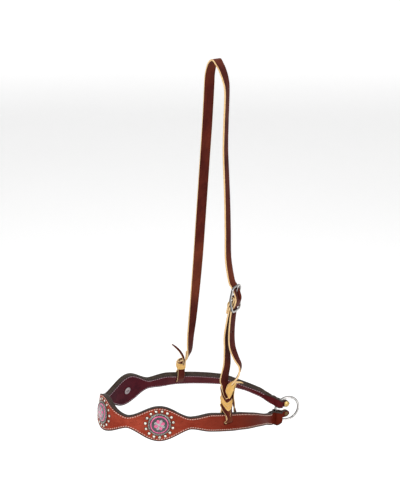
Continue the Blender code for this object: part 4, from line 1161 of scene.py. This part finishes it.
def strap_shape(stations, thick, section=STRAP_SECTION):
    """A strap with dyed faces and natural edges."""
    last = len(stations) - 1
    points, flow, travelled = [], [], 0
    for i, (centre, across, half) in enumerate(stations):
        behind = stations[max(i - 1, 0)][0]
        ahead = (stations[min(i + 1, last)][0] - behind).normalized()
        level = (across - ahead * across.dot(ahead)).normalized()
        normal = level.cross(ahead)
        travelled += (centre - behind).length
        for x, y, _ in section:
            points.append(centre + level * x * half + normal * y * thick / 2)
            flow.append((travelled, x * half, y * thick / 2))
    return Shape().add(points, loft_faces(last + 1, len(section)),
                       section_slots(section, 0.95) * last + [1, 1], flow,
                       [mark for *_, mark in section] * (last + 1))


def turned(degrees):
    return Vector((cos(radians(degrees)), sin(radians(degrees)), 0))


def crown_knots():
    """The crown strap as it hangs: its far leg turned edge on over the hitch, its billet bowed."""
    inner = hitch_knots(1)[:13]
    inner[0] = hitch_knot(1, 0.0465, -leg_spread(0.0465, LINING_FACE), LEG_WIDTH / 3)
    shift = hitch_frame(1, 0)[1] * LEG_SHIFT[1]
    knots = [(centre + shift, across, half) for centre, across, half in inner]
    knots += [(hitch_point(1, u / 1000, height / 1000, out / 1000), turned(degrees), half / 1000)
              for u, height, out, degrees, half in FAR_LEG]
    knots += [(leg_point(1, rise), turned(degrees), STRAP_WIDTH / 2) for rise, degrees in FAR_TURNS]

    base = CROWN_HEIGHT - CROWN_BEND_RISE
    far, near = leg_point(1, base).y, leg_point(-1, base).y
    for share in (i / 8 for i in range(1, 8)):
        turn = pi * share
        over = far * cos(turn) if share < 0.5 else near * abs(cos(turn)) ** NEAR_BEND_POWER
        place = Vector((HITCH_X + CROWN_SETBACK, over, base + CROWN_BEND_RISE * sin(turn)))
        across = leg_axes(1, base)[0].lerp(leg_axes(-1, base)[0], share)
        across = Matrix.Rotation(radians(-20) * (1 - share), 4, 'Z') @ across
        knots.append((place - CROWN, across, STRAP_WIDTH / 2))

    down = BUCKLE_RISE + 3 * FRAME_HALF_HEIGHT
    knots += [leg_knot(-1, base + (down - base) * i / 6) for i in range(7)]
    knots.append(buckle_knot(-1.4 * FRAME_HALF_HEIGHT, -BUCKLE_STAND_OFF / 2))
    for share in (-1, -0.66, -0.33, 0, 0.33, 0.66, 1):
        drop = FRAME_HALF_HEIGHT * share
        knots.append(buckle_knot(drop, billet_out(drop)))
    for rise, u, out, degrees, half in BILLET_TAIL:
        centre = leg_knot(-1, rise, out / 1000)[0] - Vector((u / 1000, 0, 0))
        knots.append((centre, turned(degrees), half / 1000))
    return knots, ([2] * 6 + [1] + [2] * 10 + [4] * 8 + [2] * 8 + [4] * 6 + [3] + [2] * 7
                   + [3] * 2 + [2] * 5)


def make_crown_strap():
    knots, steps = crown_knots()
    stations = smooth_path(knots, [count * 3 for count in steps])
    strap = strap_shape(stations, STRAP).build("crown_strap_detail", "strap", "tan_edge")
    middle_rise = Z * (TONGUE_LOW + TONGUE_HIGH) / 2
    window = axes(BUCKLE_CENTRE + middle_rise + BUCKLE_OUT * BILLET_MID, Z, BUCKLE_OUT)
    tools = [cutter("tongue_window", window, TONGUE_WIRE + 2 * CLEARANCE, BILLET_MID * 2, 16,
                    TONGUE_HIGH - TONGUE_LOW)]
    for i in range(BILLET_HOLES):
        rise = BUCKLE_RISE - (FRAME_HALF_HEIGHT + BILLET_POINT / 2 + BILLET_HOLE_PITCH * i)
        centre = leg_knot(-1, rise, BUCKLE_STAND_OFF * 1.5)[0]
        tools.append(cutter("billet_hole", axes(centre, Z, BUCKLE_OUT), BILLET_HOLE_RADIUS,
                            3 * BUCKLE_STAND_OFF, 16))
    cut_away(strap, tools)
    removed(tools)
    placed(strap, "strap_leather", "crown_strap")


def cheek_knots():
    """From the fold's end behind the buckle round its bar, down and through the near hitch."""
    knots = []
    for share in (1, 0.6, 0.25):
        drop = FOLD_LENGTH * share
        out = billet_out(drop) - 2 * FOLD_LAYER - FRAME_WIRE * (1 - share)
        knots.append(buckle_knot(drop, out))
    for turn in (180, 135, 90, 45, 0):
        knots.append(buckle_knot(-FOLD_MID * sin(radians(turn)), FOLD_MID * cos(radians(turn))))
    for share in (0.33, 0.66, 1):
        drop = FRAME_HALF_HEIGHT * share
        knots.append(buckle_knot(drop, billet_out(drop) - FOLD_LAYER))
    low = BUCKLE_RISE - 3 * FRAME_HALF_HEIGHT
    knots += [leg_knot(-1, low + (HITCH_TOP - low) * i / 3) for i in range(3)]
    knots.append(hitch_knot(-1, HITCH_TOP, 0, STRAP_WIDTH / 2))
    knots += hitch_knots(-1)[::-1]
    return knots, [2] * 10 + [4] + [3] * 3 + [2, 3] + [2] * 5 + [1] + [2] * 5 + [3]


def make_cheek_strap():
    knots, steps = cheek_knots()
    stations = smooth_path(knots, [count * 2 for count in steps])
    strap = strap_shape(stations, STRAP).build("cheek_strap_detail", "strap", "tan_edge")
    place = axes(BUCKLE_CENTRE + Z * FOLD_MID / 2 + BUCKLE_OUT * FOLD_MID / 2, Z, BUCKLE_OUT)
    tools = [cutter("tongue_slot", place, TONGUE_WIRE + 2 * CLEARANCE, 4 * FOLD_MID, 16,
                    3 * FOLD_MID),
             cutter("fold_bore", axes(FOLD_SCREW, BUCKLE_ACROSS, BUCKLE_OUT),
                    SHAFT_RADIUS + CLEARANCE, 2 * BUCKLE_STAND_OFF, 16)]
    for tool in tools:
        cut_away(strap, [tool])
    removed(tools)
    placed(strap, "strap_leather", "cheek_strap")


def make_buckle():
    """Frame with its centre bar, the tongue on the bar, and the screw through the fold."""
    centre, across, outward = BUCKLE_CENTRE, BUCKLE_ACROSS, BUCKLE_OUT
    path = []
    for i in range(120):
        turn = 2 * pi * i / 120
        side, rise = (squared(part, 2 / FRAME_SQUARENESS) for part in (cos(turn), sin(turn)))
        path.append(centre + across * FRAME_HALF_WIDTH * side + Z * FRAME_HALF_HEIGHT * rise
                    + outward * FRAME_ARCH * ease(abs(rise) / ARCH_SHARE))
    shape = Shape().add(*tube(path, FRAME_WIRE, 14, True, outward))
    bar = [centre + across * FRAME_HALF_WIDTH * share for share in (-1, -0.5, 0, 0.5, 1)]
    shape.add(*tube(bar, FRAME_WIRE * 0.97, 14, False, outward))
    placed(shape.build("buckle_detail", "nickel"), "buckle_nickel", "buckle_frame")

    length = hypot(FRAME_HALF_HEIGHT + TONGUE_OVERHANG, FRAME_ARCH)
    eye = FRAME_WIRE + CLEARANCE + TONGUE_WIRE
    direction = Z * cos(TONGUE_REST) + outward * sin(TONGUE_REST)
    shape = Shape().add(*tube(circle(centre, Z, outward, eye, 40), TONGUE_WIRE, 12, True, across))
    arm = [centre + direction * (eye + (length - eye) * share)
           for share in (0, 0.2, 0.5, 0.8, 0.93, 1)]
    sizes = [TONGUE_WIRE * size for size in (0.96, 0.98, 0.98, 0.95, 0.8, 0.4)]
    shape.add(*tube(arm, sizes, 12, False, across))
    placed(shape.build("tongue_detail", "nickel"), "buckle_nickel", "buckle_tongue",
           body="tongue")

    out = billet_out(FOLD_SCREW_DROP)
    seat = 2 * FOLD_LAYER + FRAME_WIRE / 2 - out + STRAP / 2 + 4 * CLEARANCE
    inward = axes(FOLD_SCREW - outward * seat, across, -outward)
    placed(domed_screw("fold_screw_detail", seat + out - FOLD_LAYER + CLEARANCE, DOME_RISE / 2,
                       inward), "screw_brass", "buckle_screw")


# Hitches

def strand_loop(side, rise, tilt, dip, tall, grow, ahead, behind, shift, skew):
    """A strand drawn tight round both legs; tilt raises its end at the level direction's side."""
    thick, count = COLLAR_THICK, 96
    points, flow = [], []
    for i in range(count):
        turn = 2 * pi * i / count
        across, out = squared(cos(turn), 0.5), squared(sin(turn), 0.5)
        for row, over, _ in LOOP_SECTION:
            height = rise + tilt * across - dip * (1 - abs(across) ** 1.3) + row * tall / 2
            off = leg_spread(height, OUTER_FACE if out > 0 else LINING_FACE) + STRAP / 2
            off = out * (off + thick * (1 + over) / 2 + 2 * CLEARANCE + grow)
            wide = (ahead if across > 0 else behind) + over * thick / 2
            points.append(hitch_point(side, across * wide + shift + skew * off, height, off))
            flow.append((turn * ahead, row * tall / 2, over * thick / 2))
    return (points, loft_faces(count, len(LOOP_SECTION), True),
            section_slots(LOOP_SECTION, 0.7) * count, flow,
            [mark for *_, mark in LOOP_SECTION] * count)


def ribbon(side, rows, thick):
    """A strand through rows of (across, height, out, width direction, half width) in mm."""
    knots = []
    for across, height, out, lean, half in rows:
        _, level, up, outward = hitch_frame(side, height / 1000)
        width = level * lean[0] + up * lean[1] + outward * lean[2]
        place = hitch_point(side, across / 1000, height / 1000, out / 1000)
        knots.append((place, width, half / 1000))
    return strap_shape(smooth_path(knots, [7] * (len(knots) - 1)), thick, RIBBON_SECTION)


FAR_SHIFT = -0.0062
# By side: piece, look, slot, node, and each loop's rise, tilt, dip, tall, grow, ahead, behind,
# shift and skew for strand_loop
LOOPS = {-1: (("near_low_strands", "tan", "flesh_leather", "near_hitch_low_strand",
               ((0.0362, 0.0040, 0.0062, 0.0062, 0.0008, 0.0068, 0.0115, 0, 0.3),
                (0.0300, 0.0038, 0.0066, 0.0066, 0.0002, 0.0066, 0.0105, 0, 0.3))),
              ("near_top_strand", "strap", "strap_leather", "near_hitch_top_strand",
               ((0.0470, 0.0085, 0.0112, 0.0078, 0.0004, 0.0066, 0.0115, 0, 0.6),))),
         1: (("far_low_strands", "tan", "flesh_leather", "far_hitch_low_strand",
              ((0.0405, -0.0006, 0.0012, 0.0036, 0.0002, 0.0064, 0.0062, FAR_SHIFT, 0),
               (0.0372, 0.0004, 0.0012, 0.0036, 0.0008, 0.0064, 0.0062, FAR_SHIFT, 0),
               (0.0338, -0.0004, 0.0012, 0.0036, 0.0004, 0.0064, 0.0062, FAR_SHIFT, 0))),
             ("far_top_strand", "strap", "strap_leather", "far_hitch_top_strand",
              ((0.0436, 0.0010, -0.0016, 0.0036, -0.0004, 0.0046, 0.0050, FAR_SHIFT, 0),)))}
# By side: piece, look, slot, nodes, thickness, and ribbon's rows in millimetres
STRANDS = {-1: (("near_leaf", "tan", "flesh_leather", ("near_hitch_tail",), TAIL_THICK,
                 ((-18.5, 61.5, 5.2, (0.9, 0.5, 0), 1.6), (-13, 59, 6.2, (0.9, 0.5, 0), 4.4),
                  (-7.2, 55.4, 6.8, (0.93, 0.36, 0), 7.6), (-4.4, 50.6, 7.0, (0.97, 0.25, 0), 8.0),
                  (-3.9, 44.6, 6.8, (1, 0.1, 0), 4.7), (-3.2, 38.4, 5.8, (1, 0.1, 0), 0.7))),
                ("near_tip", "tan_edge", "flesh_leather", (), 0.0014,
                 ((-15.5, 60.5, 6.2, (0.25, 1, 0), 1.9), (-21, 59.2, 6.6, (0.1, 1, 0), 1.5),
                  (-27, 57.2, 6.8, (0.25, 1, 0), 1.2), (-31.5, 54.6, 6.6, (0.4, 1, 0), 0.5))),
                ("near_hook", "strap", "strap_leather", (), 0.002,
                 ((11.2, 33, 2.2, (0.8, 0.5, 0.3), 2.8), (8.9, 25, 5.6, (0.85, 0.45, 0), 3.0),
                  (4.3, 15.5, 7.6, (0.9, 0.4, 0), 2.5), (2.6, 9, 8.2, (1, 0, 0), 1.8),
                  (5.4, 5.3, 8.4, (0.8, 0.7, 0), 1.5), (10.2, 3.9, 8.2, (0.2, 1, 0), 1.0))),
                ("near_thong", "strap", "strap_leather", (), 0.0018,
                 ((-5.4, 24, 6.0, (1, -0.1, 0), 1.9), (-3.6, 17, 8.0, (1, -0.1, 0), 1.5),
                  (-1.7, 10, 8.6, (1, -0.1, 0), 0.8))),
                ("near_bow", "strap", "strap_leather", (), 0.0022,
                 ((-18.5, 57, 3.6, (0, 0, 1), 2.6), (-14.2, 47, 2.8, (0, 0, 1), 3.2),
                  (-13.0, 36, 2.0, (0, 0, 1), 3.4), (-16.0, 26, -0.8, (0, 0, 1), 3.0),
                  (-20.4, 18, -5.6, (0.3, 0, 1), 2.2), (-22.4, 8, -6.6, (1, 0, 0.2), 2.4),
                  (-23.8, -8, -6.6, (1, 0, 0), 2.6), (-25.0, -18, -6.4, (1, 0, 0), 2.4),
                  (-25.8, -23.5, -6.2, (1, 0.1, 0), 1.2)))),
           1: (("far_tail", "strap", "strap_leather", ("far_hitch_tail",), 0.0018,
                ((-3.6, 40, -5.6, (0.5, 0.1, 0.8), 2.2), (-3.4, 48, -6.0, (0.5, 0.1, 0.8), 2.4),
                 (-5.2, 56, -6.2, (0.6, 0.3, 0.7), 2.2), (-10.8, 66.5, -6.0, (0.6, 0.5, 0.6), 1.9),
                 (-17.5, 74.5, -5.6, (0.6, 0.6, 0.5), 1.6),
                 (-24.5, 81, -5.2, (0.6, 0.6, 0.5), 0.8))),
               ("far_edge", "tan_edge", "flesh_leather", (), 0.0016,
                ((0.6, 64, -3.6, (0.6, 0, 0.8), 1.3), (0.2, 54, -4.4, (0.6, 0, 0.8), 1.4),
                 (-0.8, 44, -5.0, (0.6, 0, 0.8), 1.5), (-2.4, 34, -5.2, (0.7, 0, 0.7), 1.2))))}


def make_hitch(side):
    for name, look, slot, node, loops in LOOPS[side]:
        shape = Shape()
        for numbers in loops:
            shape.add(*strand_loop(side, *numbers))
        placed(shape.build(name, look, "tan_edge"), slot, node)
    for name, look, slot, nodes, thick, rows in STRANDS[side]:
        placed(ribbon(side, rows, thick).build(name, look, "tan_edge"), slot, *nodes)


# Studio

FLOOR_HEIGHT = -0.95
FLOOR_REACH = 6
BEND_START = FLOOR_REACH * 0.6
BEND_RADIUS = 1.5
BACKDROP_RISE = 5
WHITE = (1, 1, 1, 1)
# Place, aim, width and height, and energy
LAMPS = {"key": ((-1.9, -1.1, 0.9), (0, 0, -0.4), (1.0, 1.0), 30),
         "fill": ((0.6, -2.0, 0.3), (0, 0, -0.4), (1.2, 1.4), 14),
         "over": ((0.3, 0.9, 1.4), (0, 0, -0.3), (1.2, 1.2), 12)}


def add_stage():
    """A floor that bends up into a backdrop; it glows for the rays that see a background."""
    n = material("studio_floor")
    place = n.place()
    height = n.add('ShaderNodeSeparateXYZ', {"Vector": place}).outputs["Z"]
    glow = n.span(height, FLOOR_HEIGHT, FLOOR_HEIGHT + 0.5, 0.45, 0.95)
    tone = n.mix(n.noise(place, 1.5, 2, 0.5), (0.86, 0.86, 0.86), (0.9, 0.9, 0.9))
    n.finish(Base_Color=tone, Roughness=0.9, Emission_Color=WHITE,
             Emission_Strength=n.times(n.background_rays(), glow))
    rows = [(-FLOOR_REACH, FLOOR_HEIGHT), (BEND_START, FLOOR_HEIGHT)]
    for turn in (pi / 2 * i / 12 for i in range(1, 13)):
        rows.append((BEND_START + BEND_RADIUS * sin(turn),
                     FLOOR_HEIGHT + BEND_RADIUS * (1 - cos(turn))))
    rows.append((BEND_START + BEND_RADIUS, FLOOR_HEIGHT + BACKDROP_RISE))
    mesh = bpy.data.meshes.new("floor")
    mesh.from_pydata([(x, y, z) for y, z in rows for x in (-FLOOR_REACH, FLOOR_REACH)], [],
                     [(2 * i, 2 * i + 1, 2 * i + 3, 2 * i + 2) for i in range(len(rows) - 1)])
    mesh.polygons.foreach_set("use_smooth", [True] * len(mesh.polygons))
    mesh.materials.append(n.owner)
    floor = linked("studio_floor", mesh)
    floor.rotation_euler = (0, 0, CAMERA_AZIMUTH)


def add_lamps():
    for name, (place, aim, size, energy) in LAMPS.items():
        data = bpy.data.lights.new(name, 'AREA')
        data.shape = 'RECTANGLE'
        data.size, data.size_y = size
        data.energy = energy
        lamp = linked(name, data)
        lamp.location = place
        lamp.rotation_euler = (Vector(aim) - Vector(place)).to_track_quat('-Z', 'Y').to_euler()


def add_camera():
    data = bpy.data.cameras.new("camera")
    data.sensor_width = SENSOR
    data.lens = LENS
    right = Vector((cos(CAMERA_AZIMUTH), sin(CAMERA_AZIMUTH), 0))
    back = right.cross(Z) * cos(CAMERA_ELEVATION) + Z * sin(CAMERA_ELEVATION)
    camera = linked("camera", data)
    camera.matrix_world = (Matrix.Translation(CAMERA_PLACE)
                           @ Matrix((right, back.cross(right), back)).transposed().to_4x4())
    bpy.context.scene.camera = camera


def add_world():
    world = bpy.data.worlds.new("studio")
    bpy.context.scene.world = world
    n = Nodes(world)
    background = n.tree.nodes["Background"].inputs
    n.put(WHITE, background["Color"])
    n.put(n.span(n.background_rays(), 0.0, 1.0, 0.4), background["Strength"])


add_camera()
make_band()
make_seams()
make_spot_heads()
for concho_name, concho_lobe in LOBES.items():
    make_concho(concho_name, concho_lobe * LOBE_PITCH)
make_ring()
make_tab_screws()
make_crown_strap()
make_cheek_strap()
make_buckle()
make_hitch(-1)
make_hitch(1)
add_stage()
add_lamps()
add_world()
bpy.context.scene.view_settings.view_transform = 'Standard'
